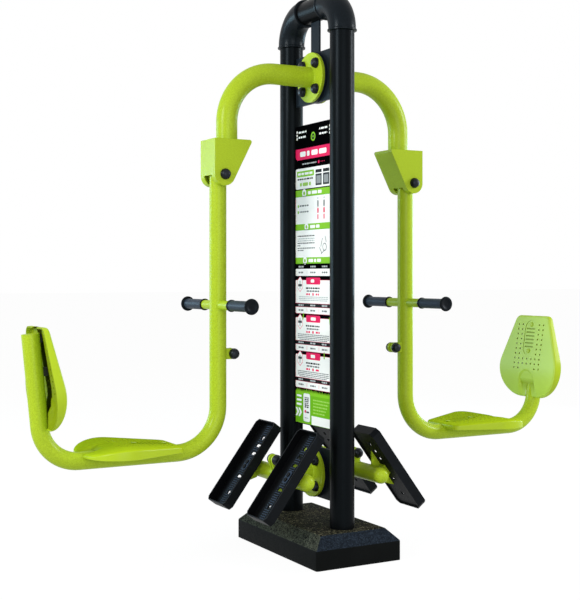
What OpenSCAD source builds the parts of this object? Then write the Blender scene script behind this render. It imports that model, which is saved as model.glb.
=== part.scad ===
// Outdoor squat machine with two seats that swing from a pair of posts.
// Lengths are in millimetres. Z is up, and the origin is the centre of the base
// on the ground. X runs along the two arms and Y runs through both posts.
// Each paired piece is drawn on the +X side and mirrored for the -X side.

/* [Base] */
// Length of the plinth along the line of the posts
plinth_length = 605; // [590:1:800]
// Width of the plinth
plinth_width = 350; // [320:1:600]
// Height of the plinth's upright sides
plinth_side = 70; // [60:1:120]
// Height of the sloped edge above the sides
plinth_slope = 42; // [20:1:60]
// How far the sloped edge leans in
plinth_inset = 41; // [10:1:60]
// Distance from the plinth's edge to the anchor plate
anchor_edge = 38; // [25:1:45]
// Thickness of the anchor plate
anchor_plate_t = 10; // [6:0.5:20]
// Distance from the anchor plate's edge to the centre of a hole
anchor_hole_edge = 32; // [20:1:40]
// Diameter of the anchor holes
anchor_hole = 18; // [14:1:26]
// Diameter of the pocket above each anchor hole
nut_pocket = 44; // [36:1:56]
// Depth of the pocket above the anchor plate
nut_pocket_h = 34; // [20:1:40]

/* [Posts] */
// Outside diameter of the posts and the crossbar
post_d = 88.9; // [76:0.1:102]
// Wall of the posts and the crossbar
post_wall = 3.6; // [2.5:0.1:6]
// Distance between the centres of the posts
post_spacing = 372; // [340:1:420]
// Height of the crossbar's axis
top_z = 2010; // [1860:1:2300]
// Bend radius of the elbow fittings
elbow_bend = 105; // [90:1:120]
// Wall of the elbow fittings over the tube
elbow_wall = 5.5; // [3:0.5:9]
// Depth of the sockets at the ends of an elbow
elbow_socket = 10; // [8:1:20]
// Height of the raised lip at each end of an elbow
elbow_lip = 2; // [1:0.5:4]
// Length of the raised lip
elbow_lip_length = 4; // [2:0.5:6]
// Width of the tie bar under the crossbar
tie_width = 60; // [40:1:90]
// Thickness of the tie bar
tie_t = 8; // [5:0.5:9]

/* [Brackets and flanges] */
// Thickness of the bracket plates between the posts
bracket_t = 10; // [9:0.5:16]
// Height of the bracket plates
bracket_h = 186; // [180:1:220]
// Diameter of the round pads on the bracket plates
pad_d = 189; // [186:1:200]
// Thickness of a pad
pad_t = 10; // [5:0.5:15]
// Diameter of the bolted flanges
flange_d = 185; // [178:1:196]
// Thickness of the bolted flanges
flange_t = 12; // [8:0.5:18]
// Bolt circle of the flanges
bolt_circle = 135; // [122:1:140]
// Number of bolts in a flange
bolt_count = 4; // [3:1:4]
// Shank diameter of the frame bolts
bolt_d = 16; // [12:1:18]
// Width across the corners of a bolt head
bolt_head_d = 27.6; // [24:0.1:28]
// Height of a bolt head
bolt_head_h = 10; // [6:0.5:11]
// Diameter of the domed bolt caps
cap_d = 39; // [36:0.5:42]
// Height of the domed bolt caps
cap_h = 20; // [18:0.5:24]
// Height of a cap's straight rim
cap_rim = 6; // [4:0.5:8]
// Wall of a bolt cap at its rim
cap_wall = 5.3; // [4:0.1:6]

/* [Sign] */
// Gap between the lower bracket and the sign board
sign_low_gap = 73; // [30:1:120]
// Gap between the sign board and the upper bracket
sign_top_gap = 74; // [30:1:200]
// Thickness of the board between the posts
board_t = 12; // [6:0.5:20]
// Thickness of the printed sheet
sheet_t = 3; // [1:0.5:5]
// Margin from the board's edge to the printed sheet
sheet_margin = 2; // [1:0.5:10]

/* [Upper arms] */
// Distance from the crossbar's axis down to the upper arm's axis
arm_drop = 255; // [200:1:300]
// Outside diameter of the upper arm
arm_d = 76.1; // [60:0.1:84]
// Wall of the upper arm
arm_wall = 3.2; // [2:0.1:5]
// Bend radius of the upper arm
arm_bend = 190; // [160:1:220]
// How far the arm comes down inward of the pivot
arm_offset = 35; // [10:1:40]

/* [Hinge] */
// Distance from the middle of the machine to the pivot
pivot_x = 405; // [390:1:460]
// Distance from the upper arm's axis down to the pivot
pivot_drop = 380; // [345:1:420]
// How far a seat swings outward in degrees
swing = 25; // [15:1:26]
// Radius of the housing's nose around the pivot
nose_r = 40; // [38:0.5:50]
// Height of the housing above the pivot
housing_h = 126; // [115:1:140]
// Slope of the housing's inner side in degrees
housing_slant = 27.3; // [27:0.1:34]
// Width of the housing
housing_w = 120; // [100:1:150]
// Thickness of the cheeks
cheek_t = 5; // [4:0.5:8]
// Thickness of the wrapped plate and the top plate
wrap_t = 4; // [3:0.5:5]
// Rounding of the housing's inner top corner
housing_corner = 8; // [3:0.5:14]
// Diameter of the pivot pin
pin_d = 20; // [14:0.5:24]
// Running clearance of the pin in its bushes, on the radius
running_fit = 0.05; // [0.02:0.01:0.1]
// Wall of the bushes
bush_wall = 5; // [2:0.5:6]
// Length of a bush inside the sleeve
bush_length = 22; // [12:1:30]
// Thickness of a bush's collar
bush_collar = 2.5; // [1.5:0.5:4]
// Wall of the pivot sleeve
sleeve_wall = 4; // [3:0.5:6]
// Free space between a bush collar and the cheek
collar_gap = 0.5; // [0.3:0.1:1]
// Width of the rubber buffers
buffer_w = 36; // [20:1:50]
// Length of the rubber buffers
buffer_length = 24; // [12:1:26]

/* [Seat arms] */
// Outside diameter of the seat arm
seat_tube_d = 60.3; // [50:0.1:62]
// Wall of the seat arm
seat_wall = 3.2; // [2:0.1:5]
// Length of the arm above the pivot, inside the housing
tail_length = 90; // [70:1:96]
// Height of the axis of the seat arm under the seat
seat_z = 397; // [360:1:440]
// Bend radius below the handlebar
front_bend = 157; // [120:1:170]
// Straight length under the seat
seat_run = 358; // [350:1:420]
// Bend radius behind the seat
back_bend = 135; // [110:1:170]
// How far the backrest leans outward in degrees
back_lean = 5.7; // [0:0.1:15]
// Straight length behind the backrest
back_run = 309; // [290:1:360]
// Thickness of the closed end of the arm
end_t = 4; // [2:0.5:8]

/* [Seat shells] */
// Length of the seat and of the backrest
shell_length = 340; // [320:1:350]
// Greatest width of a shell
shell_width = 345; // [310:1:380]
// Width of a shell's narrow end
shell_narrow = 212; // [180:1:240]
// Corner radius at the wide end
shell_wide_r = 120; // [80:1:130]
// Corner radius at the narrow end
shell_narrow_r = 30; // [20:1:45]
// Wall of a shell
shell_t = 5; // [4:0.5:6]
// How much the face of a shell rises over its length
shell_rise = 25.5; // [20:0.5:30]
// How far the crowned face falls again at the wide end
shell_fall = 34; // [26:0.5:36]
// Distance from the narrow end to where the face begins to fall
fall_start = 190; // [180:1:210]
// Height of a shell's rim above the axis of the tube
shell_rim = 15; // [8:0.5:20]
// Distance from the front bend to the seat
seat_start = 13; // [0:1:20]
// How far the backrest reaches past the end of the tube
back_overhang = 21; // [5:1:40]
// Width of the trough at the wide end
trough_w = 92; // [84:1:110]
// Length of the trough
trough_length = 108; // [104:1:112]
// Depth of the trough where it begins
trough_step = 3; // [1:0.5:5]
// Length of the slot through which the tube leaves the trough
slot_length = 55; // [45:1:65]
// Diameter of the drain holes
drain_d = 6; // [4:0.5:8]
// Distance between drain holes across the shell
drain_pitch_y = 25; // [22:0.5:26]
// Distance between drain holes along the shell
drain_pitch_x = 20.4; // [18:0.1:20.6]
// Distance from the narrow end to the first row of drain holes
drain_start = 39; // [34:1:39]
// Width of the grooved panel
panel_w = 67; // [56:1:72]
// Length of the grooved panel
panel_length = 147; // [140:1:150]
// Distance from the narrow end to the grooved panel
panel_start = 20; // [16:1:24]
// Depth of the panel's floor under the face
panel_depth = 1.5; // [0.5:0.1:2]
// Number of grooves across the panel
groove_count = 6; // [4:1:7]
// Width of a groove
groove_w = 6; // [4:0.5:8]
// Depth of a groove under the face
groove_depth = 3.3; // [2.5:0.1:3.5]
// Distance from an end of the panel to its screw
screw_inset = 18; // [14:1:20]
// Diameter of the shell screws
screw_d = 10; // [6:0.5:12]
// Diameter of a shell screw's head
screw_head_d = 18; // [14:0.5:20]
// Height of a shell screw's head
screw_head_h = 3.5; // [2:0.5:5]
// Length and width of a spacer under a shell
spacer_size = 28; // [20:1:36]

/* [Handlebars] */
// Height of the handlebars
handle_z = 912; // [860:1:1000]
// Diameter of the handlebars
handle_d = 33.7; // [26:0.1:36]
// Wall of the handlebars
handle_wall = 2.6; // [2:0.1:4]
// Length of a handlebar with its grips
handle_length = 532; // [460:1:600]
// Distance from the middle of a handlebar to its grips
grip_start = 107; // [80:1:130]
// Wall of the grips
grip_wall = 2.2; // [1.5:0.1:4]
// Diameter of a grip's inner collar
grip_collar_d = 43; // [42:0.5:50]
// Diameter of a grip's end disc
grip_end_d = 55; // [46:0.5:64]
// Thickness of a grip's collar and of its end disc
grip_end_t = 8; // [5:0.5:12]

/* [Damper lugs] */
// Thickness of a lug ear
ear_t = 8; // [5:0.5:10]
// Gap between the ears of a lug
ear_gap = 14; // [10:0.5:18]
// Radius of an ear around its bolt
ear_r = 19; // [18:0.5:26]
// Distance from a tube's axis to the lug's bolt
lug_reach = 56; // [52:0.5:70]
// Height of the bolt of the lug on a seat arm
arm_lug_z = 738; // [700:1:780]
// How far the bolt of the foot lug lies outward of the foot bar
foot_lug_shift = 19; // [0:0.5:20]

/* [Foot rests] */
// Distance from the middle of the machine to the foot bar
foot_x = 157; // [150:1:200]
// Height of the foot bar's axis
foot_z = 288; // [280:1:320]
// Outside diameter of the foot bar
foot_d = 60.3; // [50:0.1:64]
// Wall of the foot bar
foot_wall = 3.2; // [2:0.1:5]
// Distance between the centres of the foot bar's round ends
foot_bar_length = 400; // [380:1:440]
// Distance from the middle of the machine to the middle of a tray
tray_y = 160; // [150:1:180]
// Slope of the trays below the horizontal in degrees
tray_slope = 53.1; // [45:0.1:60]
// Length of a tray
tray_length = 361; // [345:1:380]
// Width of a tray
tray_w = 145; // [130:1:160]
// Depth of a tray over its walls
tray_depth = 37; // [35:0.5:46]
// Depth from a tray's front lip to its floor
tray_recess = 28; // [24:0.5:29]
// Wall of a tray
tray_wall = 4; // [3:0.5:5]
// Thickness of a tray's floor
tray_floor = 3.5; // [3:0.5:5]
// Cut across the corners of a tray
tray_corner = 13; // [6:0.5:20]
// Distance from the upper end of a tray to the foot bar
tray_above = 162; // [154:1:170]
// Distance from the axis of the foot bar to the back of a tray
tray_back = 43; // [40:0.5:48]
// Width of the ribbed strip along a tray
strip_w = 34; // [26:1:40]
// Height of the ribs on the strip
strip_rib_h = 3; // [1:0.5:5]
// Distance between the ribs on the strip
strip_pitch = 8.5; // [7:0.5:10]
// Distance from the ends of a tray to its round holes
tray_hole_inset = 60; // [54:1:64]
// Distance between the holes in a tray
tray_hole_pitch = 35; // [33:1:37]
// Diameter of the round holes
tray_hole = 17; // [12:0.5:20]
// Length of the slots across a tray
tray_slot = 30; // [24:1:34]
// Width of the slots
tray_slot_w = 12; // [8:0.5:16]
// Distance from the foot bar to the middle of a tray's boss
boss_x = 18; // [14:1:22]
// Length of the boss on the floor of a tray
boss_length = 52; // [50:1:56]
// Height of the boss
boss_h = 3; // [1:0.5:5]
// Distance between the two screws of a tray
tray_screw_gap = 20; // [20:1:26]
// Distance from the middle of a tray to its gusset
gusset_shift = 22; // [20:1:30]
// Length of a gusset along the tray
gusset_length = 166; // [140:1:180]
// Thickness of a gusset
gusset_t = 6; // [4:0.5:8]
// Width of the pad under a tray
tray_pad_w = 30; // [26:1:40]
// Length of the pad under a tray
tray_pad_length = 40; // [38:1:60]

/* [Hidden] */
$fn = 96;

// Name of the node to draw, or all of them

// Gap left where a welded or seated piece meets a round tube
seat_gap = 0.2;
// Clearance on the radius of a piece that is fixed in a hole
hole_gap = 0.1;
// Reach of a cut past the surface that it opens
cut = 1;
// Clearance around the swinging tube in the housing
swing_gap = 1.5;
// Clearance between the tube and a rubber buffer
buffer_gap = 0.4;
// Clearance beside the tube in the housing's slot
slot_gap = 2.5;
// Clearance on the radius of a bolt in its hole and of a head in its cap
bolt_clearance = 0.5;
// Clearance around the anchor plate in the plinth
plate_gap = 0.5;
// Backing ring inside the weld where the back bend meets the straight tube
weld_ring_length = 8;
weld_ring_bite = 0.6;
// Distance from the end of the arm to the far edge of a buffer
buffer_edge = 3;
// Clearance around the tube in the slot of a shell
shell_play = 1;
// Height of the trough's floor at the wide end above the axis of the tube
trough_end_z = 24;
// Steps in which the falling part of a face is drawn
fall_steps = 10;
// Free length below the end of a tray screw
screw_end_gap = 2;
// Free gap between the boss of a tray and the ribs around it
boss_gap = 1;
// Thickness of a rib on the strip of a tray
strip_rib_t = 2.8;
// Distance from the side of the panel to the end of a groove
groove_margin = 8;
// Rows of drain holes, columns on each side of the middle, and those left out beside the panel
drain_rows = 10;
drain_columns = 3;
panel_columns = 1;
// How far a gusset narrows for each millimetre towards the foot bar
gusset_taper = 1.33;

green = [0.66, 0.78, 0.18];
black = [0.1, 0.1, 0.11];
cap_black = [0.05, 0.05, 0.06];
stone = [0.16, 0.16, 0.15];
steel = [0.7, 0.7, 0.72];
bronze = [0.72, 0.5, 0.25];

arm_z = top_z - arm_drop;
pivot_z = arm_z - pivot_drop;
post_y = post_spacing / 2;
post_gap = post_spacing - post_d - 2 * seat_gap;
elbow_d = post_d + 2 * elbow_wall;
plinth_h = plinth_side + plinth_slope;
anchor_length = plinth_length - 2 * anchor_edge;
anchor_width = plinth_width - 2 * anchor_edge;
anchor_x = anchor_width / 2 - anchor_hole_edge;
anchor_y = anchor_length / 2 - anchor_hole_edge;
pad_x = bracket_t / 2 + pad_t;
flange_x = pad_x + flange_t;
bolt_hole = bolt_d + 2 * bolt_clearance;
sign_z = foot_z + bracket_h / 2 + sign_low_gap;
sign_h = arm_z - bracket_h / 2 - sign_top_gap - sign_z;
leg_x = pivot_x - arm_offset;
housing_top = pivot_z + housing_h;
tube_r = seat_tube_d / 2;
foot_r = foot_d / 2;

// Half width of the slot that the seat arm passes through
slot_half = tube_r + slot_gap;
inner_face = nose_r - wrap_t;
swing_r = tube_r + swing_gap;
// Height above the pivot where the swung tube leaves through the outer plate
outer_slot_z = swing_r * sin(swing) - cos(swing) * (inner_face - swing_r * cos(swing)) / sin(swing);
// Height above the pivot where the resting tube meets the sloped plate
inner_slot_z = (swing_r * cos(housing_slant) - inner_face) / sin(housing_slant);
// Thickness of the buffer that the resting tube leans on
rest_buffer_t = inner_face - tube_r - buffer_gap;
buffer_low = tail_length - buffer_edge - buffer_length;
// Distance from the pivot to the side of the swung tube, square to the sloped plate
swung_side = tube_r * cos(housing_slant - swing) - buffer_low * sin(housing_slant - swing);
travel_buffer_t = inner_face - swung_side - buffer_gap;

bush_d = pin_d + 2 * running_fit + 2 * bush_wall;
sleeve_in = bush_d + 2 * hole_gap;
sleeve_d = sleeve_in + 2 * sleeve_wall;
collar_end = housing_w / 2 - cheek_t - collar_gap;
sleeve_half = collar_end - bush_collar;

front_bend_z = seat_z + front_bend;
seat_run_x = pivot_x + front_bend;
back_bend_x = seat_run_x + seat_run;

// Heights of a shell's face above the axis of its tube
shell_low = tube_r + seat_gap + shell_t;
shell_tip = [shell_narrow_r, shell_narrow / 2 - shell_narrow_r];
shell_tail = [shell_length - shell_wide_r, shell_width / 2 - shell_wide_r];
shell_side = atan2(shell_tail[1] - shell_tip[1], shell_tail[0] - shell_tip[0])
    + acos((shell_narrow_r - shell_wide_r) / norm(shell_tail - shell_tip));
screw_x = [panel_start + screw_inset, panel_start + panel_length - screw_inset];

tray_floor_back = tray_back + tray_depth - tray_recess - tray_floor;
tray_floor_front = tray_floor_back + tray_floor;
grip_end = handle_length / 2;

function face_z(x) = shell_low + shell_rise * x / shell_length
    - shell_fall * pow(max(0, x - fall_start) / (shell_length - fall_start), 2);
function heading(angle) = [cos(angle), sin(angle)];
function arc(centre, radius, from, to, steps = 12) =
    [for (i = [0:steps]) centre + radius * heading(from + (to - from) * i / steps)];
function flip(points) = [for (i = [len(points) - 1:-1:0]) [points[i][0], -points[i][1]]];

// Placing of mirrored and turned pieces

module left() mirror([1, 0, 0]) children();

module both_sides() {
    children();
    left() children();
}

module front_and_rear() {
    children();
    mirror([0, 1, 0]) children();
}

module on_seat() translate([seat_run_x + seat_start, 0, seat_z]) children();

// Z runs up the axis of the leaning tube from the end of the back bend
module at_back_tube() translate([back_bend_x, 0, seat_z + back_bend]) rotate([0, back_lean, 0])
    translate([back_bend, 0, 0]) children();

// The backrest lies along the leaning tube, narrow end up, facing the user
module on_back() at_back_tube() translate([0, 0, back_run + back_overhang]) rotate([180, 90, 0])
    children();

module both_shells() {
    on_seat() children();
    on_back() children();
}

module on_tray() translate([foot_x, 0, foot_z]) rotate([0, tray_slope, 0]) children();

module at_flange_bolts(z) {
    for (i = [0:bolt_count - 1])
        translate([0, 0, z]) rotate([45 + i * 360 / bolt_count, 0, 0])
            translate([0, bolt_circle / 2, 0]) children();
}

// Tubes

module ring(d, wall) difference() {
    circle(d = d);
    circle(d = d - 2 * wall);
}

module straight_tube(d, wall, length) linear_extrude(length) ring(d, wall);

module bent_tube(d, wall, radius, angle)
    rotate_extrude(angle = angle) translate([radius, 0]) ring(d, wall);

// Base and posts

module plinth_profile(width) polygon([
    [-width / 2, 0], [width / 2, 0], [width / 2, plinth_side],
    [width / 2 - plinth_inset, plinth_h], [plinth_inset - width / 2, plinth_h], [-width / 2, plinth_side]
]);

module base_plinth() color(stone) difference() {
    intersection() {
        rotate([90, 0, 0]) linear_extrude(plinth_length, center = true) plinth_profile(plinth_width);
        rotate([90, 0, 90]) linear_extrude(plinth_width, center = true) plinth_profile(plinth_length);
    }
    translate([0, 0, -cut]) linear_extrude(anchor_plate_t + cut)
        square([anchor_width + 2 * plate_gap, anchor_length + 2 * plate_gap], center = true);
    front_and_rear() translate([0, post_y, 0]) cylinder(d = post_d + 2 * seat_gap, h = plinth_h + cut);
    both_sides() front_and_rear() translate([anchor_x, anchor_y, 0])
        cylinder(d = nut_pocket, h = anchor_plate_t + nut_pocket_h);
}

module anchor_plate() color(steel) difference() {
    translate([0, 0, anchor_plate_t / 2]) cube([anchor_width, anchor_length, anchor_plate_t], center = true);
    both_sides() front_and_rear() translate([anchor_x, anchor_y, -cut])
        cylinder(d = anchor_hole, h = anchor_plate_t + 2 * cut);
}

module post() color(black) translate([0, post_y, anchor_plate_t])
    straight_tube(post_d, post_wall, top_z - elbow_bend - anchor_plate_t);

module elbow_socket_ring() {
    bore = post_d + 2 * hole_gap;
    difference() {
        union() {
            cylinder(d = elbow_d, h = elbow_socket);
            cylinder(d = elbow_d + 2 * elbow_lip, h = elbow_lip_length);
        }
        translate([0, 0, -cut]) cylinder(d = bore, h = elbow_socket + 2 * cut);
    }
}

module elbow() color(black) {
    translate([0, post_y - elbow_bend, top_z - elbow_bend]) rotate([90, 0, 90])
        bent_tube(elbow_d, elbow_wall + post_wall, elbow_bend, 90);
    translate([0, post_y, top_z - elbow_bend - elbow_socket]) elbow_socket_ring();
    translate([0, post_y - elbow_bend - elbow_socket, top_z]) rotate([-90, 0, 0]) elbow_socket_ring();
}

module top_crossbar() color(black) translate([0, post_y - elbow_bend, top_z]) rotate([90, 0, 0])
    straight_tube(post_d, post_wall, 2 * (post_y - elbow_bend));

module top_tie_bar() {
    bottom = arm_z + bracket_h / 2;
    top = top_z - post_d / 2 - seat_gap;
    color(black) difference() {
        translate([-tie_t / 2, -tie_width / 2, bottom]) cube([tie_t, tie_width, top - bottom]);
        translate([0, 0, arm_z]) rotate([0, 90, 0])
            cylinder(d = pad_d + 2 * seat_gap, h = 2 * tie_t, center = true);
    }
}

// Brackets, flanges and their bolts

module bolt_row(z, half) at_flange_bolts(z) rotate([0, 90, 0])
    cylinder(d = bolt_hole, h = 2 * half, center = true);

module bracket(z) color(black) difference() {
    union() {
        translate([0, 0, z]) cube([bracket_t, post_gap, bracket_h], center = true);
        translate([0, 0, z]) rotate([0, 90, 0]) cylinder(d = pad_d, h = 2 * pad_x, center = true);
    }
    bolt_row(z, pad_x + cut);
}

module flange(z) color(green) difference() {
    translate([pad_x, 0, z]) rotate([0, 90, 0]) cylinder(d = flange_d, h = flange_t);
    bolt_row(z, flange_x + cut);
}

module cap() color(cap_black) difference() {
    dome = cap_h - cap_rim;
    dome_r = (cap_d * cap_d / 4 + dome * dome) / (2 * dome);
    intersection() {
        translate([0, 0, cap_h - dome_r]) sphere(r = dome_r);
        cylinder(d = cap_d, h = cap_h);
    }
    translate([0, 0, -cut]) cylinder(d = cap_d - 2 * cap_wall, h = bolt_head_h + bolt_clearance + cut);
}

// A bolt along X with a hexagonal head at each end of its grip
module through_bolt(half) color(steel) {
    rotate([0, 90, 0]) cylinder(d = bolt_d, h = 2 * half + bolt_head_h, center = true);
    for (side = [-1, 1]) rotate([0, 90 * side, 0]) translate([0, 0, half])
        cylinder(d = bolt_head_d, h = bolt_head_h, $fn = 6);
}

// Lug bolts lie along Y through both ears
module at_foot_lug() translate([foot_x + foot_lug_shift, 0, foot_z + lug_reach]) children();
module at_arm_lug() translate([pivot_x - lug_reach, 0, arm_lug_z]) children();
module lug_bolt() rotate([0, 0, 90]) through_bolt(ear_gap / 2 + ear_t);
module lug_caps() front_and_rear() translate([0, ear_gap / 2 + ear_t, 0]) rotate([-90, 0, 0]) cap();

module frame_bolts() {
    at_flange_bolts(arm_z) through_bolt(flange_x);
    at_flange_bolts(foot_z) through_bolt(flange_x);
    both_sides() at_foot_lug() lug_bolt();
}

module bolt_caps() both_sides() {
    for (z = [arm_z, foot_z]) at_flange_bolts(z) translate([flange_x, 0, 0]) rotate([0, 90, 0]) cap();
    at_foot_lug() lug_caps();
    front_and_rear() translate([pivot_x, housing_w / 2, pivot_z]) rotate([-90, 0, 0]) cap();
}

// Sign between the posts

module sign_board() color(black)
    translate([-board_t / 2, -post_gap / 2, sign_z]) cube([board_t, post_gap, sign_h]);

module sign_sheet() color("white")
    translate([-board_t / 2 - sheet_t, sheet_margin - post_gap / 2, sign_z + sheet_margin])
        cube([sheet_t, post_gap - 2 * sheet_margin, sign_h - 2 * sheet_margin]);

// Upper arm and hinge housing

module upper_arm() color(green) {
    translate([flange_x, 0, arm_z]) rotate([0, 90, 0])
        straight_tube(arm_d, arm_wall, leg_x - arm_bend - flange_x);
    translate([leg_x - arm_bend, 0, arm_z - arm_bend]) rotate([90, 0, 0])
        bent_tube(arm_d, arm_wall, arm_bend, 90);
    translate([leg_x, 0, housing_top]) straight_tube(arm_d, arm_wall, arm_z - arm_bend - housing_top);
}

function slant_x(radius, z) = -(radius + z * sin(housing_slant)) / cos(housing_slant);

// Side view of the housing around the pivot, with every face moved in by inset
module housing_outline(inset, top) {
    radius = nose_r - inset;
    corner = [slant_x(radius - housing_corner, top - housing_corner), top - housing_corner];
    circle(r = radius);
    translate(corner) circle(r = housing_corner);
    polygon([
        [0, 0], [radius, 0], [radius, top], [corner[0], top],
        corner - housing_corner * [cos(housing_slant), sin(housing_slant)],
        -radius * [cos(housing_slant), sin(housing_slant)]
    ]);
}

module hinge_housing() color(green) translate([pivot_x, 0, pivot_z]) difference() {
    rotate([90, 0, 0]) linear_extrude(housing_w, center = true) housing_outline(0, housing_h);
    rotate([90, 0, 0]) linear_extrude(housing_w - 2 * cheek_t, center = true)
        housing_outline(wrap_t, housing_h - wrap_t);
    translate([0, -slot_half, -nose_r - cut])
        cube([nose_r + cut, 2 * slot_half, nose_r + cut + outer_slot_z]);
    translate([-nose_r - cut, -slot_half, -nose_r - cut])
        cube([nose_r + 2 * cut, 2 * slot_half, nose_r + cut + inner_slot_z]);
    rotate([90, 0, 0]) cylinder(d = pin_d + 2 * hole_gap, h = housing_w + 2 * cut, center = true);
}

// One rubber pad on the outer plate and one on the sloped plate
module stop_buffers() color(cap_black) translate([pivot_x, 0, pivot_z]) {
    translate([inner_face - rest_buffer_t, -buffer_w / 2, buffer_low])
        cube([rest_buffer_t, buffer_w, buffer_length]);
    rotate([0, -housing_slant, 0]) translate([-inner_face, -buffer_w / 2, buffer_low])
        cube([travel_buffer_t, buffer_w, buffer_length]);
}

module pivot_pin() color(steel) translate([pivot_x, 0, pivot_z]) rotate([90, 0, 0]) {
    head_d = cap_d - 2 * (cap_wall + bolt_clearance);
    cylinder(d = pin_d, h = housing_w + bolt_head_h, center = true);
    for (side = [0, 180]) rotate([side, 0, 0]) translate([0, 0, housing_w / 2])
        cylinder(d = head_d, h = bolt_head_h);
}

// Seat arm, its pivot sleeve and its bushes

module seat_arm_tube() {
    translate([pivot_x, 0, front_bend_z])
        straight_tube(seat_tube_d, seat_wall, pivot_z + tail_length - front_bend_z);
    translate([seat_run_x, 0, front_bend_z]) rotate([90, 180, 0])
        bent_tube(seat_tube_d, seat_wall, front_bend, 90);
    translate([seat_run_x, 0, seat_z]) rotate([0, 90, 0]) straight_tube(seat_tube_d, seat_wall, seat_run);
    translate([back_bend_x, 0, seat_z + back_bend]) rotate([90, 90, 0])
        bent_tube(seat_tube_d, seat_wall, back_bend, 90 - back_lean);
    at_back_tube() {
        straight_tube(seat_tube_d, seat_wall, back_run - end_t);
        translate([0, 0, back_run - end_t]) cylinder(d = seat_tube_d, h = end_t);
        translate([0, 0, -weld_ring_length / 2])
            straight_tube(seat_tube_d - 2 * seat_wall + weld_ring_bite, seat_wall, weld_ring_length);
    }
}

module seat_arm() color(green) difference() {
    seat_arm_tube();
    translate([pivot_x, 0, pivot_z]) rotate([90, 0, 0])
        cylinder(d = sleeve_d + 2 * hole_gap, h = 2 * seat_tube_d, center = true);
    translate([pivot_x, 0, handle_z]) rotate([90, 0, 0])
        cylinder(d = handle_d + 2 * hole_gap, h = 2 * seat_tube_d, center = true);
    on_seat() screw_holes();
    on_back() screw_holes();
}

module pivot_sleeve() color(green) translate([pivot_x, sleeve_half, pivot_z]) rotate([90, 0, 0])
    straight_tube(sleeve_d, sleeve_wall, 2 * sleeve_half);

module pivot_bushes() color(bronze) front_and_rear() translate([pivot_x, 0, pivot_z]) rotate([-90, 0, 0])
    difference() {
        union() {
            translate([0, 0, sleeve_half - bush_length]) cylinder(d = bush_d, h = bush_length);
            translate([0, 0, sleeve_half]) cylinder(d = sleeve_d, h = bush_collar);
        }
        cylinder(d = pin_d + 2 * running_fit, h = housing_w);
    }

// Seat and backrest, which are the same moulded shell

module shell_plan(inset) {
    half = concat(
        arc(shell_tip, shell_narrow_r - inset, 180, shell_side),
        arc(shell_tail, shell_wide_r - inset, shell_side, 0)
    );
    polygon(concat(half, flip(half)));
}

// Everything from a height up to the crowned face, seen from the side
module under_face(low, drop) {
    start = -cut;
    end = shell_length + cut;
    step = (end - fall_start) / fall_steps;
    rotate([90, 0, 0]) linear_extrude(shell_width + 2 * cut, center = true) polygon(concat(
        [[end, low], [start, low], [start, face_z(start) - drop]],
        [for (i = [0:fall_steps]) [fall_start + i * step, face_z(fall_start + i * step) - drop]]
    ));
}

// The trough's floor runs down to the tube and on to the wide end
module trough(grow) {
    start = shell_length - trough_length;
    end = shell_length + cut;
    rotate([90, 0, 0]) linear_extrude(trough_w + 2 * grow, center = true) polygon([
        [start - grow, face_z(start) - trough_step - grow],
        [shell_length - slot_length, tube_r + seat_gap - grow],
        [end, trough_end_z - grow],
        [end, shell_width], [start - grow, shell_width]
    ]);
}

module stadium(start, width, length) {
    for (x = [start + width / 2, start + length - width / 2]) translate([x, 0]) circle(d = width);
    translate([start + width / 2, -width / 2]) square([length - width, width]);
}

module drain_holes() {
    for (row = [0:drain_rows - 1], column = [-drain_columns:drain_columns]) {
        full_row = row == drain_rows - 3 || row == drain_rows - 2;
        if (full_row || abs(column) > panel_columns)
            translate([drain_start + row * drain_pitch_x, column * drain_pitch_y, shell_rim])
                cylinder(d = drain_d, h = shell_width);
    }
}

module screw_holes() for (x = screw_x) translate([x, 0, 0])
    cylinder(d = screw_d + 2 * hole_gap, h = shell_width);

// Everything above the face and down to a depth under it
module face_layer(depth) difference() {
    under_face(shell_rim, -cut);
    under_face(0, depth);
}

module grooved_panel() {
    first = panel_start + 2 * screw_inset;
    spacing = (panel_length - 4 * screw_inset) / (groove_count - 1);
    intersection() {
        linear_extrude(shell_width) stadium(panel_start, panel_w, panel_length);
        face_layer(panel_depth);
    }
    for (i = [0:groove_count - 1]) intersection() {
        translate([first + i * spacing, 0, shell_width / 2])
            cube([groove_w, panel_w - 2 * groove_margin, shell_width], center = true);
        face_layer(groove_depth);
    }
}

module seat_shell() difference() {
    intersection() {
        linear_extrude(shell_width) shell_plan(0);
        under_face(shell_rim, 0);
    }
    difference() {
        intersection() {
            linear_extrude(shell_width) shell_plan(shell_t);
            under_face(0, shell_t);
        }
        trough(shell_t);
    }
    trough(0);
    rotate([0, 90, 0]) cylinder(r = tube_r + seat_gap, h = shell_length);
    translate([shell_length - slot_length, 0, 0]) rotate([0, 90, 0])
        cylinder(r = tube_r + shell_play, h = slot_length + cut);
    drain_holes();
    screw_holes();
    grooved_panel();
}

// Saddles that carry a shell on the round tube under its screws
module shell_spacers() for (x = screw_x) difference() {
    intersection() {
        translate([x - spacer_size / 2, -spacer_size / 2, 0]) cube([spacer_size, spacer_size, shell_width]);
        under_face(shell_rim, shell_t);
    }
    rotate([0, 90, 0]) cylinder(r = tube_r + seat_gap / 2, h = shell_length);
    screw_holes();
}

module shell_screws() for (x = screw_x) {
    tip = tube_r - 2 * seat_wall;
    head = face_z(x + screw_head_d / 2) - panel_depth;
    translate([x, 0, tip]) cylinder(d = screw_d, h = head - tip);
    translate([x, 0, head]) cylinder(d = screw_head_d, h = screw_head_h);
}

// Handlebar and grips

module handlebar() {
    half = grip_end - grip_end_t - seat_gap;
    color(green) translate([pivot_x, half, handle_z]) rotate([90, 0, 0])
        straight_tube(handle_d, handle_wall, 2 * half);
}

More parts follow.
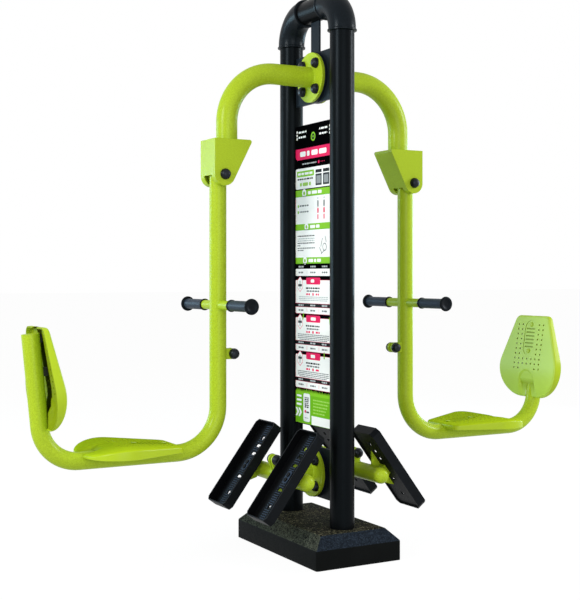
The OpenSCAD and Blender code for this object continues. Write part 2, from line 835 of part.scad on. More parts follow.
module grips() color(cap_black) front_and_rear() translate([pivot_x, 0, handle_z]) rotate([-90, 0, 0])
    difference() {
        body = handle_d + 2 * grip_wall;
        union() {
            translate([0, 0, grip_start]) cylinder(d = body, h = grip_end - grip_start);
            translate([0, 0, grip_start]) cylinder(d = grip_collar_d, h = grip_end_t);
            translate([0, 0, grip_end - grip_end_t]) cylinder(d = grip_end_d, h = grip_end_t);
        }
        cylinder(d = handle_d + 2 * hole_gap, h = grip_end - grip_end_t);
    }

// Lugs with two ears, for a damper between the arm and the foot frame

// Side view of an ear around its bolt, with its foot at the given place
module ear_outline(foot) {
    turn = atan2(foot[1], foot[0]);
    side = ear_r * [-sin(turn), cos(turn)];
    polygon(concat(arc([0, 0], ear_r, turn + 90, turn + 270, 24), [foot - side, foot + side]));
}

module ears(foot) front_and_rear() difference() {
    translate([0, ear_gap / 2 + ear_t, 0]) rotate([90, 0, 0]) linear_extrude(ear_t) ear_outline(foot);
    rotate([90, 0, 0]) cylinder(d = bolt_d + 2 * hole_gap, h = ear_gap + 3 * ear_t, center = true);
}

module arm_lug() color(green) difference() {
    at_arm_lug() ears([lug_reach, 0]);
    translate([pivot_x, 0, arm_lug_z - 2 * ear_r]) cylinder(r = tube_r + hole_gap, h = 4 * ear_r);
}

module foot_lug() color(green) difference() {
    at_foot_lug() ears([-foot_lug_shift, -lug_reach]);
    translate([foot_x, 0, foot_z]) rotate([90, 0, 0])
        cylinder(r = foot_r + hole_gap, h = 4 * ear_r, center = true);
    translate([0, 0, foot_z]) rotate([0, 90, 0]) cylinder(r = foot_r + hole_gap, h = foot_x);
}

// Foot frame and trays

module foot_frame() color(green) difference() {
    union() {
        translate([flange_x, 0, foot_z]) rotate([0, 90, 0]) cylinder(d = foot_d, h = foot_x - flange_x);
        translate([foot_x, 0, foot_z]) rotate([90, 0, 0])
            cylinder(d = foot_d, h = foot_bar_length, center = true);
        front_and_rear() translate([foot_x, foot_bar_length / 2, foot_z]) sphere(d = foot_d);
    }
    translate([flange_x - cut, 0, foot_z]) rotate([0, 90, 0])
        cylinder(d = foot_d - 2 * foot_wall, h = foot_x - flange_x);
    translate([foot_x, 0, foot_z]) rotate([90, 0, 0])
        cylinder(d = foot_d - 2 * foot_wall, h = foot_bar_length, center = true);
}

// The cut corners stay parallel at the given distance inside the outer edge
module tray_outline(inset) {
    low = inset - tray_above;
    high = tray_length - tray_above - inset;
    side = tray_w / 2 - inset;
    corner = tray_corner - inset * (2 - sqrt(2));
    polygon([
        [low + corner, -side], [high - corner, -side], [high, corner - side], [high, side - corner],
        [high - corner, side], [low + corner, side], [low, side - corner], [low, corner - side]
    ]);
}

module across_slot(x) translate([x, 0]) {
    for (side = [-1, 1]) translate([0, side * (tray_slot - tray_slot_w) / 2]) circle(d = tray_slot_w);
    square([tray_slot_w, tray_slot - tray_slot_w], center = true);
}

module tray_openings() {
    first = tray_hole_inset - tray_above;
    last = tray_length - tray_above - tray_hole_inset;
    for (x = [first, last]) translate([x, 0]) circle(d = tray_hole);
    for (x = [first + tray_hole_pitch, first + 2 * tray_hole_pitch, last - 2 * tray_hole_pitch])
        across_slot(x);
}

module tray_ribs() {
    start = tray_wall + strip_pitch - tray_above;
    end = tray_length - tray_above - tray_wall - strip_pitch;
    count = floor((end - start) / strip_pitch);
    for (i = [0:count]) translate([start + i * (end - start) / count, 0])
        square([strip_rib_t, strip_w], center = true);
}

module boss_outline(grow) {
    half = boss_length / 2;
    for (side = [-1, 1]) translate([boss_x + side * (half - strip_w / 2), 0]) circle(d = strip_w + 2 * grow);
    translate([boss_x, 0]) square([boss_length - strip_w, strip_w + 2 * grow], center = true);
}

// The tray's floor lies between a deep front recess and a shallow back recess
module tray() color(cap_black) translate([0, tray_y, 0]) difference() {
    union() {
        difference() {
            translate([0, 0, tray_back]) linear_extrude(tray_depth) tray_outline(0);
            translate([0, 0, tray_floor_front]) linear_extrude(tray_depth) tray_outline(tray_wall);
            translate([0, 0, tray_back - cut]) linear_extrude(tray_floor_back - tray_back + cut)
                tray_outline(tray_wall);
        }
        translate([0, 0, tray_floor_front - cut]) linear_extrude(strip_rib_h + cut) difference() {
            tray_ribs();
            boss_outline(boss_gap);
        }
        translate([0, 0, tray_floor_front - cut]) linear_extrude(boss_h + cut) boss_outline(0);
    }
    translate([0, 0, tray_back]) linear_extrude(tray_depth) tray_openings();
    tray_screw_holes();
}

module tray_screw_holes() for (side = [-1, 1]) translate([boss_x + side * tray_screw_gap / 2, 0, 0])
    cylinder(d = screw_d + 2 * hole_gap, h = tray_back + tray_depth);

// A gusset fin beside a pad, both seated on the foot bar under one tray
module tray_bracket() color(green) difference() {
    fin = gusset_length / 2;
    foot = fin - gusset_taper * tray_floor_back;
    pad_start = tray_y - gusset_shift + gusset_t / 2;
    union() {
        translate([0, tray_y - gusset_shift, 0]) rotate([90, 0, 0]) linear_extrude(gusset_t, center = true)
            polygon([
                [boss_x - fin, tray_floor_back], [boss_x - foot, 0],
                [boss_x + foot, 0], [boss_x + fin, tray_floor_back]
            ]);
        translate([boss_x - tray_pad_length / 2, pad_start - cut, foot_r / 2])
            cube([tray_pad_length, tray_pad_w + cut, tray_floor_back - foot_r / 2]);
    }
    rotate([90, 0, 0]) cylinder(r = foot_r + hole_gap, h = 2 * foot_bar_length, center = true);
    translate([0, tray_y, 0]) tray_screw_holes();
}

module tray_screws() both_sides() on_tray() front_and_rear()
    for (side = [-1, 1]) translate([boss_x + side * tray_screw_gap / 2, tray_y, 0]) color(steel) {
        top = tray_floor_front + boss_h;
        tip = foot_r + screw_end_gap;
        translate([0, 0, tip]) cylinder(d = screw_d, h = top - tip);
        translate([0, 0, top]) cylinder(d = screw_head_d, h = screw_head_h);
    }

base_plinth();
anchor_plate();
mirror([0, 1, 0]) post();  // post_front
post();  // post_rear
mirror([0, 1, 0]) elbow();  // elbow_front
elbow();  // elbow_rear
top_crossbar();
top_tie_bar();
bracket(arm_z);  // upper_bracket
bracket(foot_z);  // lower_bracket
sign_board();
sign_sheet();
frame_bolts();
bolt_caps();
both_sides() pivot_pin();  // pivot_pins
tray_screws();

left() flange(arm_z);  // left_upper_flange
left() upper_arm();  // left_upper_arm
left() hinge_housing();  // left_hinge_housing
left() stop_buffers();  // left_stop_buffers
left() flange(foot_z);  // left_lower_flange
left() foot_frame();  // left_foot_frame
left() on_tray() mirror([0, 1, 0]) tray();  // left_tray_front
left() on_tray() tray();  // left_tray_rear
left() on_tray() front_and_rear() tray_bracket();  // left_tray_brackets
left() foot_lug();  // left_foot_lug

flange(arm_z);  // right_upper_flange
upper_arm();  // right_upper_arm
hinge_housing();  // right_hinge_housing
stop_buffers();  // right_stop_buffers
flange(foot_z);  // right_lower_flange
foot_frame();  // right_foot_frame
on_tray() mirror([0, 1, 0]) tray();  // right_tray_front
on_tray() tray();  // right_tray_rear
on_tray() front_and_rear() tray_bracket();  // right_tray_brackets
foot_lug();  // right_foot_lug

left() seat_arm();  // left_seat_arm
left() pivot_sleeve();  // left_pivot_sleeve
left() pivot_bushes();  // left_pivot_bushes
left() on_seat() color(green) seat_shell();  // left_seat
left() on_back() color(green) seat_shell();  // left_backrest
left() both_shells() color(steel) shell_spacers();  // left_shell_spacers
left() both_shells() color(green) shell_screws();  // left_shell_screws
left() handlebar();  // left_handlebar
left() grips();  // left_grips
left() arm_lug();  // left_arm_lug
left() at_arm_lug() lug_bolt();  // left_lug_bolt
left() at_arm_lug() lug_caps();  // left_lug_caps

seat_arm();  // right_seat_arm
pivot_sleeve();  // right_pivot_sleeve
pivot_bushes();  // right_pivot_bushes
on_seat() color(green) seat_shell();  // right_seat
on_back() color(green) seat_shell();  // right_backrest
both_shells() color(steel) shell_spacers();  // right_shell_spacers
both_shells() color(green) shell_screws();  // right_shell_screws
handlebar();  // right_handlebar
grips();  // right_grips
arm_lug();  // right_arm_lug
at_arm_lug() lug_bolt();  // right_lug_bolt
at_arm_lug() lug_caps();  // right_lug_caps
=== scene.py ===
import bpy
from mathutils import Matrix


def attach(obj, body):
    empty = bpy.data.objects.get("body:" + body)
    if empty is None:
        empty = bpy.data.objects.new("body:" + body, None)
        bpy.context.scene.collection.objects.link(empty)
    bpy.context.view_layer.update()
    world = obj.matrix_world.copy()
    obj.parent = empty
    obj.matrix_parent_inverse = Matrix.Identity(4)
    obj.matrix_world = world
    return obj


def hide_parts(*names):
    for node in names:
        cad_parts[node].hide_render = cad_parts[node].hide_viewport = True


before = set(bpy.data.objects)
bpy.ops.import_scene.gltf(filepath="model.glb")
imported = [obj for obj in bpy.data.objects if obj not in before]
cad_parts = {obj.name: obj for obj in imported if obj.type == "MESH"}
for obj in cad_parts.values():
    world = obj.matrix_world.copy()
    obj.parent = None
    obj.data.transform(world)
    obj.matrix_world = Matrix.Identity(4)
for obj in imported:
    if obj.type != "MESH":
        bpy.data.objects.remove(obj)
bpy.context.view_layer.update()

import math

import bmesh
import bpy
import numpy as np

# The picture: a camera at chest height, front left of the machine and held level so that the posts
# stay upright, with plain soft studio light and a white floor that keeps the machine's shadow.
scene = bpy.context.scene
scene.view_settings.view_transform = "Standard"
VIEW_TURN = math.radians(28.953)


def add_object(name, data):
    """A new object at the origin with this data, in the scene."""
    made = bpy.data.objects.new(name, data)
    scene.collection.objects.link(made)
    return made


camera = add_object("camera", bpy.data.cameras.new("camera"))
camera.location = (-2.161, -3.674, 1.0187)
camera.rotation_euler = (math.pi / 2, 0, -VIEW_TURN)
camera.data.lens = 68.41
camera.data.shift_x = 0.0070
camera.data.shift_y = -0.0413
scene.camera = camera


def soft_light(name, place, aim, size, power, colour=(1, 1, 1)):
    """A square area lamp at place that shines towards aim; size in metres and power in watts."""
    lamp = bpy.data.lights.new(name, "AREA")
    lamp.size = size
    lamp.energy = power
    lamp.color = colour
    made = add_object(name, lamp)
    made.location = place
    x, y, z = np.subtract(aim, place)
    made.rotation_euler = (math.atan2(math.hypot(x, y), -z), 0, math.atan2(y, x) - math.pi / 2)


soft_light("left_light", (-4.4, -1.0, 2.7), (0, 0, 1.0), 1.3, 103)
soft_light("right_light", (4.2, -1.8, 2.5), (0, 0, 1.0), 1.3, 105)
soft_light("front_light", (-1.5, -5.0, 1.4), (0, 0, 0.9), 3.0, 72)
soft_light("left_rim", (-3.2, 3.8, 1.4), (0, 0, 1.0), 1.6, 90, (0.55, 0.84, 1.0))
soft_light("right_rim", (4.6, 1.3, 1.4), (0, 0, 1.0), 1.6, 70, (0.55, 0.84, 1.0))


class Wire:
    """A socket in a node tree. Sums, differences and products of wires add Math nodes, so that a
    pattern is written as a formula."""

    def __init__(self, tree, socket=None):
        self.tree = tree
        self.socket = socket

    def node(self, kind, settings=(), sockets=(), output=0):
        """A wire from a new node: its settings, then the values or links of its sockets, are set."""
        made = self.tree.nodes.new("ShaderNode" + kind)
        for name, value in dict(settings).items():
            setattr(made, name, value)
        for name, value in dict(sockets).items():
            if isinstance(value, Wire):
                self.tree.links.new(value.socket, made.inputs[name])
            else:
                made.inputs[name].default_value = value
        return Wire(self.tree, made.outputs[output] if made.outputs else None)

    def math(self, operation, *values):
        """A Math node over these values."""
        return self.node("Math", {"operation": operation}, dict(enumerate(values)))

    def __add__(self, other):
        return self.math("ADD", self, other)

    def __mul__(self, other):
        return self.math("MULTIPLY", self, other)

    def __sub__(self, other):
        return self.math("SUBTRACT", self, other)

    def __rsub__(self, other):
        return self.math("SUBTRACT", other, self)

    def __abs__(self):
        return self.math("ABSOLUTE", self)

    __radd__ = __add__
    __rmul__ = __mul__

    def between(self, low, high):
        """0 where this wire is at low or under it, 1 from high on, and a smooth step between them."""
        return self.node("MapRange", {"interpolation_type": "SMOOTHSTEP"},
                         {"Value": self, "From Min": low, "From Max": high})

    def place(self):
        """The place of the shaded point in its piece's own coordinates."""
        return self.node("TexCoord", {}, {}, 3)

    def facing(self, axis):
        """How far the shaded point looks along Y or Z: axis 1 or 2 of its normal."""
        return self.node("NewGeometry", {}, {}, 1).part(axis)

    def part(self, axis):
        """The X, Y or Z of this wire: axis 0, 1 or 2."""
        return self.node("SeparateXYZ", {}, {0: self}, axis)

    def attribute(self, name):
        """The number that the mesh stores for the shaded face under that name."""
        return self.node("Attribute", {"attribute_name": name}, {}, 2)

    def noise(self, size, detail=3.0, roughness=0.5):
        """Noise from 0 to 1 with features of that size in metres; this wire is the place."""
        return self.node("TexNoise", {}, {"Vector": self, "Scale": 1 / size, "Detail": detail,
                                          "Roughness": roughness})

    def mix(self, first, second):
        """The first colour where this wire is 0 and the second where it is 1."""
        return self.node("Mix", {"data_type": "RGBA"}, {0: self, 6: first, 7: second}, 2)

    def ramp(self, *stops):
        """The colour that this wire finds between (value, colour) stops."""
        made = self.node("ValToRGB", {}, {0: self})
        elements = made.socket.node.color_ramp.elements
        for end in (0, -1):
            elements[end].position, elements[end].color = stops[end]
        for value, colour in stops[1:-1]:
            elements.new(value).color = colour
        return made


def start_material(name):
    """An empty material, and its node tree as a wire."""
    made = bpy.data.materials.new(name)
    made.use_nodes = True
    made.node_tree.nodes.clear()
    return made, Wire(made.node_tree)


def linear(red, green, blue):
    """A colour in linear light from its 0 to 255 values on screen."""
    value = np.array([red, green, blue]) / 255
    light = np.where(value > 0.04045, ((value + 0.055) / 1.055) ** 2.4, value / 12.92)
    return (*light.tolist(), 1.0)


world = bpy.data.worlds.new("studio")
scene.world = world
world.use_nodes = True
world.node_tree.nodes.clear()
sky = Wire(world.node_tree)
SEEN = ("Is Camera Ray", "Is Glossy Ray", "Is Transmission Ray")


def seen_by_ray(wire):
    """1 for a ray that shows what it meets, from the camera or by way of gloss or glass, or else 0."""
    path = wire.node("LightPath")
    lens, gloss, glass = (Wire(wire.tree, path.socket.node.outputs[name]) for name in SEEN)
    return wire.math("MAXIMUM", lens, wire.math("MAXIMUM", gloss, glass))


DIM_SKY = 0.47
backdrop = sky.node("Background", {}, {"Color": (1, 1, 1, 1),
                                       "Strength": seen_by_ray(sky) * (1 - DIM_SKY) + DIM_SKY})
sky.node("OutputWorld", {}, {"Surface": backdrop})

floor_mesh = bpy.data.meshes.new("floor")
FLOOR_REACH = 60
SHADOW_SHARE = 0.12
floor_corners = ((-1, -1), (1, -1), (1, 1), (-1, 1))
floor_mesh.from_pydata([(x * FLOOR_REACH, y * FLOOR_REACH, -0.0005) for x, y in floor_corners], [],
                       [(0, 1, 2, 3)])
floor = add_object("floor", floor_mesh)
floor_paint, wire = start_material("white_floor")
matt = wire.node("BsdfDiffuse", {}, {"Color": (0.55, 0.55, 0.55, 1)})
glow = wire.node("Emission", {}, {"Color": (1, 1, 1, 1), "Strength": 1.08})
both = wire.node("MixShader", {}, {0: seen_by_ray(wire) * (1 - SHADOW_SHARE), 1: matt, 2: glow})
wire.node("OutputMaterial", {}, {"Surface": both})
floor_mesh.materials.append(floor_paint)


def finish_paint(wire, colour, sockets, bumps):
    """The Principled shader of a material and its output. bumps is a list of (height wire, depth in
    metres), laid one on another, so the normal comes from the sum of the heights."""
    normal = {}
    for height, depth in bumps:
        bump = wire.node("Bump", {}, {"Height": height, "Distance": depth, "Strength": 1.0, **normal})
        normal = {"Normal": bump}
    shader = wire.node("BsdfPrincipled", {}, {"Base Color": colour, **sockets, **normal})
    wire.node("OutputMaterial", {}, {"Surface": shader})


# The plinth is a cast block with sloped upper edges. Its flat top is coarse and grainy, and the
# slopes and sides are smoother and darker. The slopes that look along Y carry a painted bluish
# reflection. It replaces the plain CAD block.
def grid_faces(rows, columns):
    """Corner numbers of the quads of a grid of points, with the last column joined to the first.
    Faces look along (step around) x (step along)."""
    number = np.arange(rows * columns).reshape(rows, columns)
    beside = np.roll(number, -1, axis=1)
    return np.stack([number[:-1], beside[:-1], beside[1:], number[1:]], -1).reshape(-1, 4)


def skin(name, points, closed=True):
    """A mesh object from a grid of points [along, around, xyz]. closed fills the first and the last
    row with a fan to its middle."""
    rows, columns = points.shape[:2]
    faces = grid_faces(rows, columns).tolist()
    places = points.reshape(-1, 3)
    if closed:
        middles = [points[0].mean(0), points[-1].mean(0)]
        places = np.vstack([places, middles])
        first = np.arange(columns)
        after = np.roll(first, -1)
        last = (rows - 1) * columns
        base = rows * columns
        faces += np.stack([after, first, np.full(columns, base)], -1).tolist()
        faces += np.stack([last + first, last + after, np.full(columns, base + 1)], -1).tolist()
    mesh = bpy.data.meshes.new(name)
    mesh.from_pydata(places.tolist(), [], faces)
    return smooth_object(name, mesh)


def smooth_object(name, mesh, sharp=40):
    """An object for the mesh, shaded smooth but for edges sharper than that many degrees."""
    mesh.polygons.foreach_set("use_smooth", np.ones(len(mesh.polygons), bool))
    mesh.set_sharp_from_angle(angle=math.radians(sharp))
    mesh.update()
    return add_object(name, mesh)


def dress(piece, material, body, slot, *nodes):
    """Gives a piece its material and the body it rides on, and hides the nodes it replaces. slot is not
    used.
    """
    piece.data.materials.clear()
    piece.data.materials.append(material)
    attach(piece, body)
    if nodes:
        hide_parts(*nodes)
    return piece


def on_circle(angle):
    """(cos t, sin t) for each angle t."""
    return np.stack([np.cos(angle), np.sin(angle)], -1)


def rounded_rectangle(half_x, half_y, radius, steps=8):
    """Points around a rectangle with round corners: corner middle + radius (cos t, sin t), where t
    runs through a quarter turn at each corner."""
    turn = np.linspace(0, math.pi / 2, steps)[None, :] + np.arange(4)[:, None] * math.pi / 2
    signs = np.array([[1, 1], [-1, 1], [-1, -1], [1, -1]])[:, None, :]
    corner = signs * np.array([half_x - radius, half_y - radius])
    return (corner + radius * on_circle(turn)).reshape(-1, 2)


def unit_rows(rows):
    """Each row as a vector of length 1."""
    return rows / np.linalg.norm(rows, axis=1, keepdims=True)


def round_profile(corners, radii):
    """An open polyline with each inner corner replaced by a smooth curve: the quadratic Bezier
    (1-t)^2 A + 2t(1-t) P + t^2 B with A and B one radius before and after the corner P."""
    corners = np.array(corners, float)
    before, corner, after = corners[:-2], corners[1:-1], corners[2:]
    radius = np.array(radii, float)[:, None]
    start = corner + unit_rows(before - corner) * radius
    end = corner + unit_rows(after - corner) * radius
    t = np.linspace(0, 1, 5)[None, :, None]
    curve = (1 - t) ** 2 * start[:, None] + 2 * t * (1 - t) * corner[:, None] + t ** 2 * end[:, None]
    return np.vstack([corners[:1], curve.reshape(-1, 2), corners[-1:]])


def at_height(outline, level):
    """The points of a flat outline at a height, which is one number or one for each point."""
    return np.column_stack([outline, np.broadcast_to(level, len(outline))])


PLINTH_HALF = (0.175, 0.3025)
PLINTH_SIDE = 0.070
PLINTH_TOP = 0.112
PLINTH_INSET = 0.041
EDGE_ROUND = 0.004
plinth_line = round_profile([(0.030, 0.0), (0, 0), (0, PLINTH_SIDE), (PLINTH_INSET, PLINTH_TOP),
                             (PLINTH_INSET + 0.03, PLINTH_TOP)], [0.001, EDGE_ROUND, EDGE_ROUND])
plinth_rows = [at_height(rounded_rectangle(PLINTH_HALF[0] - inset, PLINTH_HALF[1] - inset,
                                           max(0.008 - 0.1 * inset, 0.002)), height)
               for inset, height in plinth_line]
plinth = skin("plinth", np.array(plinth_rows))

cast, wire = start_material("cast_block")
place = wire.place()
flat_top = wire.facing(2).between(0.85, 0.97)
slope = wire.facing(2).between(0.2, 0.5)
endwise = abs(wire.facing(1)).between(0.2, 0.6)
grains = wire.node("TexVoronoi", {}, {"Vector": place, "Scale": 250.0}, 1)
grain_light = wire.node("SeparateColor", {}, {0: grains})
patches = place.noise(0.09, 4.0, 0.6)
side_colour = patches.mix(linear(13, 14, 13), linear(21, 22, 21))
speckle = grain_light * 0.8 + patches * 0.2
warm = speckle.ramp((0.0, linear(5, 5, 4)), (0.5, linear(25, 25, 19)), (0.8, linear(80, 78, 61)),
                    (1.0, linear(172, 165, 136)))
# Painted reflection: the slopes that look along Y get a bluish ramp that stands for reflected light.
painted_blue_reflection = speckle.ramp((0.0, linear(20, 25, 31)), (0.6, linear(33, 40, 49)), (1.0, linear(50, 60, 72)))
grit_and_painted_reflection = flat_top.mix(grain_light.mix(linear(6, 7, 6), linear(86, 90, 78)), warm)
grit_and_painted_reflection = (endwise * (1 - flat_top)).mix(grit_and_painted_reflection, painted_blue_reflection)
finish_paint(wire, slope.mix(side_colour, grit_and_painted_reflection),
             {"Roughness": slope * 0.25 + (grain_light * 0.16 + 0.45), "Specular IOR Level": 0.03,
              "Specular Tint": (0.62, 0.80, 1.0, 1)},
             [(grain_light * slope, 0.0005), (patches, 0.0008)])
dress(plinth, cast, "frame", "stone_base", "base_plinth")

zinc, wire = start_material("zinc_plate")
place = wire.place()
spangle = wire.node("TexVoronoi", {}, {"Vector": place, "Scale": 160.0}, 0)
finish_paint(wire, spangle.mix(linear(112, 116, 120), linear(142, 145, 147)),
             {"Roughness": spangle * 0.2 + 0.45, "Metallic": 1.0}, [(place.noise(0.002), 0.0001)])


def refinish(nodes, material):
    """Gives CAD nodes whose shape is right a better material."""
    for node in nodes:
        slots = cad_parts[node].data.materials
        slots.clear()
        slots.append(material)


refinish(["anchor_plate", "frame_bolts", "pivot_pins", "left_lug_bolt", "right_lug_bolt"], zinc)


def stained(name, spots, deep, bright, roughness, fixed, relief):
    """A stained surface. Noise, with spots as its size, detail and roughness, leads from the colour
    deep to bright and adds roughness[0] at most to roughness[1]. fixed holds even socket values,
    and relief is a finer noise and its depth."""
    made, wire = start_material(name)
    place = wire.place()
    stain = place.noise(*spots)
    finish_paint(wire, stain.mix(deep, bright),
                 {"Roughness": stain * roughness[0] + roughness[1], **fixed},
                 [(place.noise(*relief[0]), relief[1])])
    return made


# Painted shade: the spacers' zinc is darkened nearly to black because they sit in the shade of the
# shell's hollow.
zinc_with_painted_shade = stained("zinc_with_painted_shade", (0.012, 4.0, 0.7), linear(22, 24, 25), linear(42, 45, 47), (0.2, 0.5),
                    {"Metallic": 0.3}, ((0.002,), 0.0001))
refinish(["left_shell_spacers", "right_shell_spacers"], zinc_with_painted_shade)


# The posts are round steel tubes under a satin black powder coat with a faint orange-peel texture.
# Two elbow fittings with raised lips and a short tube join them at the top.
def powder_coat(name, deep, bright, roughness, gloss, sheen=0.03):
    """Powder paint: the colour drifts a little between deep and bright, and two sizes of soft bumps
    make the orange peel. The paint is matt, and a thin gloss lies on it, less on faces that look
    up, where dust and rain dull it."""
    made, wire = start_material(name)
    place = wire.place()
    drift = place.noise(0.22, 4.0, 0.55)
    speck = place.noise(0.0040, 3.0, 0.7).between(0.36, 0.64)
    clean = 1 - wire.facing(2).between(0.5, 0.98) * 0.85
    colour = (drift * 0.4 + speck * 0.6).mix(deep, bright)
    finish_paint(wire, colour,
                 {"Roughness": speck * 0.05 + (drift * 0.08 + roughness), "Specular IOR Level": sheen,
                  "Specular Tint": (0.50, 0.80, 1.0, 1),
                  "Coat Weight": clean * gloss, "Coat Roughness": roughness * 0.8},
                 [(place.noise(0.0045, 2.0), 0.0003), (place.noise(0.0014, 2.0), 0.00005)])
    return made


black_coat = powder_coat("black_coat", linear(7, 8, 9), linear(12, 13, 14), 0.29, 0.03, 0.05)
refinish(["post_front", "post_rear", "top_crossbar"], black_coat)

# Painted sheen: the elbows carry the posts' black paint made lighter and bluer, for the light they
# reflect.
elbow_painted_sheen_coat = powder_coat("elbow_painted_sheen_coat", linear(13, 17, 20), linear(22, 27, 32), 0.29, 0.10, 0.05)
ELBOW_BEND = 0.105
ELBOW_MIDDLE = (0.186 - ELBOW_BEND, 2.010 - ELBOW_BEND)
ELBOW_R = 0.04995
POST_R = 0.04445


def full_turn(count):
    """Angles of that many even steps around a circle."""
    return np.linspace(0, 2 * math.pi, count, endpoint=False)


def turned(profile, around):
    """Points of a turned piece along +X: (height, r cos t, r sin t) for each (r, height) of the
    profile."""
    radius, height = np.array(profile, float).T
    turn = full_turn(around)
    return np.stack([np.repeat(height[:, None], around, 1), radius[:, None] * np.cos(turn),
                     radius[:, None] * np.sin(turn)], -1)


def around_path(path, radii, across, beside, around):
    """A tube around a path: P(s, t) = path(s) + r(s) (a(s) cos t + b(s) sin t), where a and b are the
    rows of across and beside."""
    cosine, sine = on_circle(full_turn(around)).T[:, None, :, None]
    return path[:, None] + radii[:, None, None] * (across[:, None] * cosine + beside[:, None] * sine)


LIP = 0.0034
lip_place = np.array([-0.0102, -0.0100, -0.0088, -0.0040, -0.0026, -0.0008, 0.0])
lip_radius = np.array([POST_R + 0.0002, ELBOW_R + LIP * 0.4, ELBOW_R + LIP, ELBOW_R + LIP,
                       ELBOW_R + LIP * 0.5, ELBOW_R, ELBOW_R])
bend = np.linspace(0, math.pi / 2, 28)[1:-1]
elbow_line = np.vstack([
    np.column_stack([np.full_like(lip_place, ELBOW_BEND), lip_place]),
    ELBOW_BEND * on_circle(bend),
    np.column_stack([lip_place[::-1], np.full_like(lip_place, ELBOW_BEND)])])
elbow_radii = np.concatenate([lip_radius, np.full(len(bend), ELBOW_R), lip_radius[::-1]])
for end, sign in (("front", -1), ("rear", 1)):
    elbow_path = np.column_stack([np.zeros(len(elbow_line)),
                                  sign * (elbow_line[:, 0] + ELBOW_MIDDLE[0]),
                                  elbow_line[:, 1] + ELBOW_MIDDLE[1]])
    beside = np.tile((1.0, 0.0, 0.0), (len(elbow_path), 1))
    across = np.cross(beside, unit_rows(np.gradient(elbow_path, axis=0)))
    elbow = skin("elbow_" + end + "_fitting",
                 around_path(elbow_path, elbow_radii, across, beside, 64), closed=False)
    dress(elbow, elbow_painted_sheen_coat, "frame", "black_steel", "elbow_" + end)


def softened(node, width, material, body, slot, segments=3):
    """A copy of a CAD node with its doubles merged, its flat faces joined, and every edge sharper
    than 32 degrees rounded to that width, as paint and pressing leave it."""
    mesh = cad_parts[node].data.copy()
    work = bmesh.new()
    work.from_mesh(mesh)
    bmesh.ops.remove_doubles(work, verts=work.verts, dist=2e-6)
    bmesh.ops.dissolve_limit(work, angle_limit=math.radians(0.5), verts=work.verts, edges=work.edges)
    work.to_mesh(mesh)
    work.free()
    for layer in [a.name for a in mesh.attributes if a.name.startswith("custom_normal")]:
        mesh.attributes.remove(mesh.attributes[layer])
    copy = smooth_object(node + "_soft", mesh, 180)
    rounding = copy.modifiers.new("rounding", "BEVEL")
    rounding.width = width
    rounding.segments = segments
    rounding.limit_method = "ANGLE"
    rounding.angle_limit = math.radians(32)
    rounding.harden_normals = True
    return dress(copy, material, body, slot, node)


# Painted sheen: the tie bar and both brackets carry the posts' black paint made lighter and bluer, for
# the light their flat faces reflect.
black_painted_sheen_coat = powder_coat("black_painted_sheen_coat", linear(19, 25, 31), linear(29, 37, 45), 0.30, 0.05, 0.05)
softened("top_tie_bar", 0.0012, black_painted_sheen_coat, "frame", "black_steel")


# Two black plates with round pads are welded between the posts. A green flange is bolted to each
# side of a pad, and black domed caps cover the bolts of flanges, lugs and pivots.
# The black plates take that black paint with its painted bluish sheen.
for node in ("upper_bracket", "lower_bracket"):
    softened(node, 0.0015, black_painted_sheen_coat, "frame", "black_steel")
green_coat = powder_coat("green_coat", linear(161, 186, 32), linear(188, 215, 48), 0.33, 0.26)
for side in ("left", "right"):
    for level in ("upper", "lower"):
        softened(f"{side}_{level}_flange", 0.0020, green_coat, "frame", "green_steel")

black_plastic = stained(
    "black_plastic", (0.012, 5.0, 0.7), linear(7, 7, 8), linear(15, 15, 17), (0.2, 0.27),
    {"Specular IOR Level": 0.3, "Specular Tint": (0.7, 0.85, 1.0, 1)}, ((0.0009, 2.0), 0.00003))

CAP_R = 0.0195
CAP_H = 0.020
cap_turn = np.linspace(0, math.pi / 2, 12)
cap_profile = np.vstack([
    [(CAP_R - 0.005, 0.0001), (CAP_R - 0.0004, 0.0001), (CAP_R, 0.0006), (CAP_R, 0.0042),
     (CAP_R - 0.0006, 0.0050), (CAP_R - 0.0011, 0.0054)],
    np.column_stack([(CAP_R - 0.0012) * np.cos(cap_turn) ** 0.8,
                     0.0056 + (CAP_H - 0.0056) * np.sin(cap_turn)])[:-1]])
cap_points = turned(cap_profile, 40)


def turn_to(points, axis, place):
    """Turns points made along +X so that they lie along another row axis, '+y' for one, and moves
    them. Only the order of the axes and their signs change, by a rotation."""
    x, y, z = np.moveaxis(points, -1, 0)
    turned_points = {"+x": (x, y, z), "-x": (-x, -y, z), "+y": (-y, x, z), "-y": (y, -x, z),
                     "+z": (-z, y, x)}[axis]
    return np.stack(turned_points, -1) + np.asarray(place)


def joined(name, grids, closed=True):
    """One mesh object from several grids of points."""
    work = bmesh.new()
    for grid in grids:
        part = skin(name, grid, closed)
        work.from_mesh(part.data)
        bpy.data.objects.remove(part)
    mesh = bpy.data.meshes.new(name)
    work.to_mesh(mesh)
    work.free()
    return smooth_object(name, mesh)


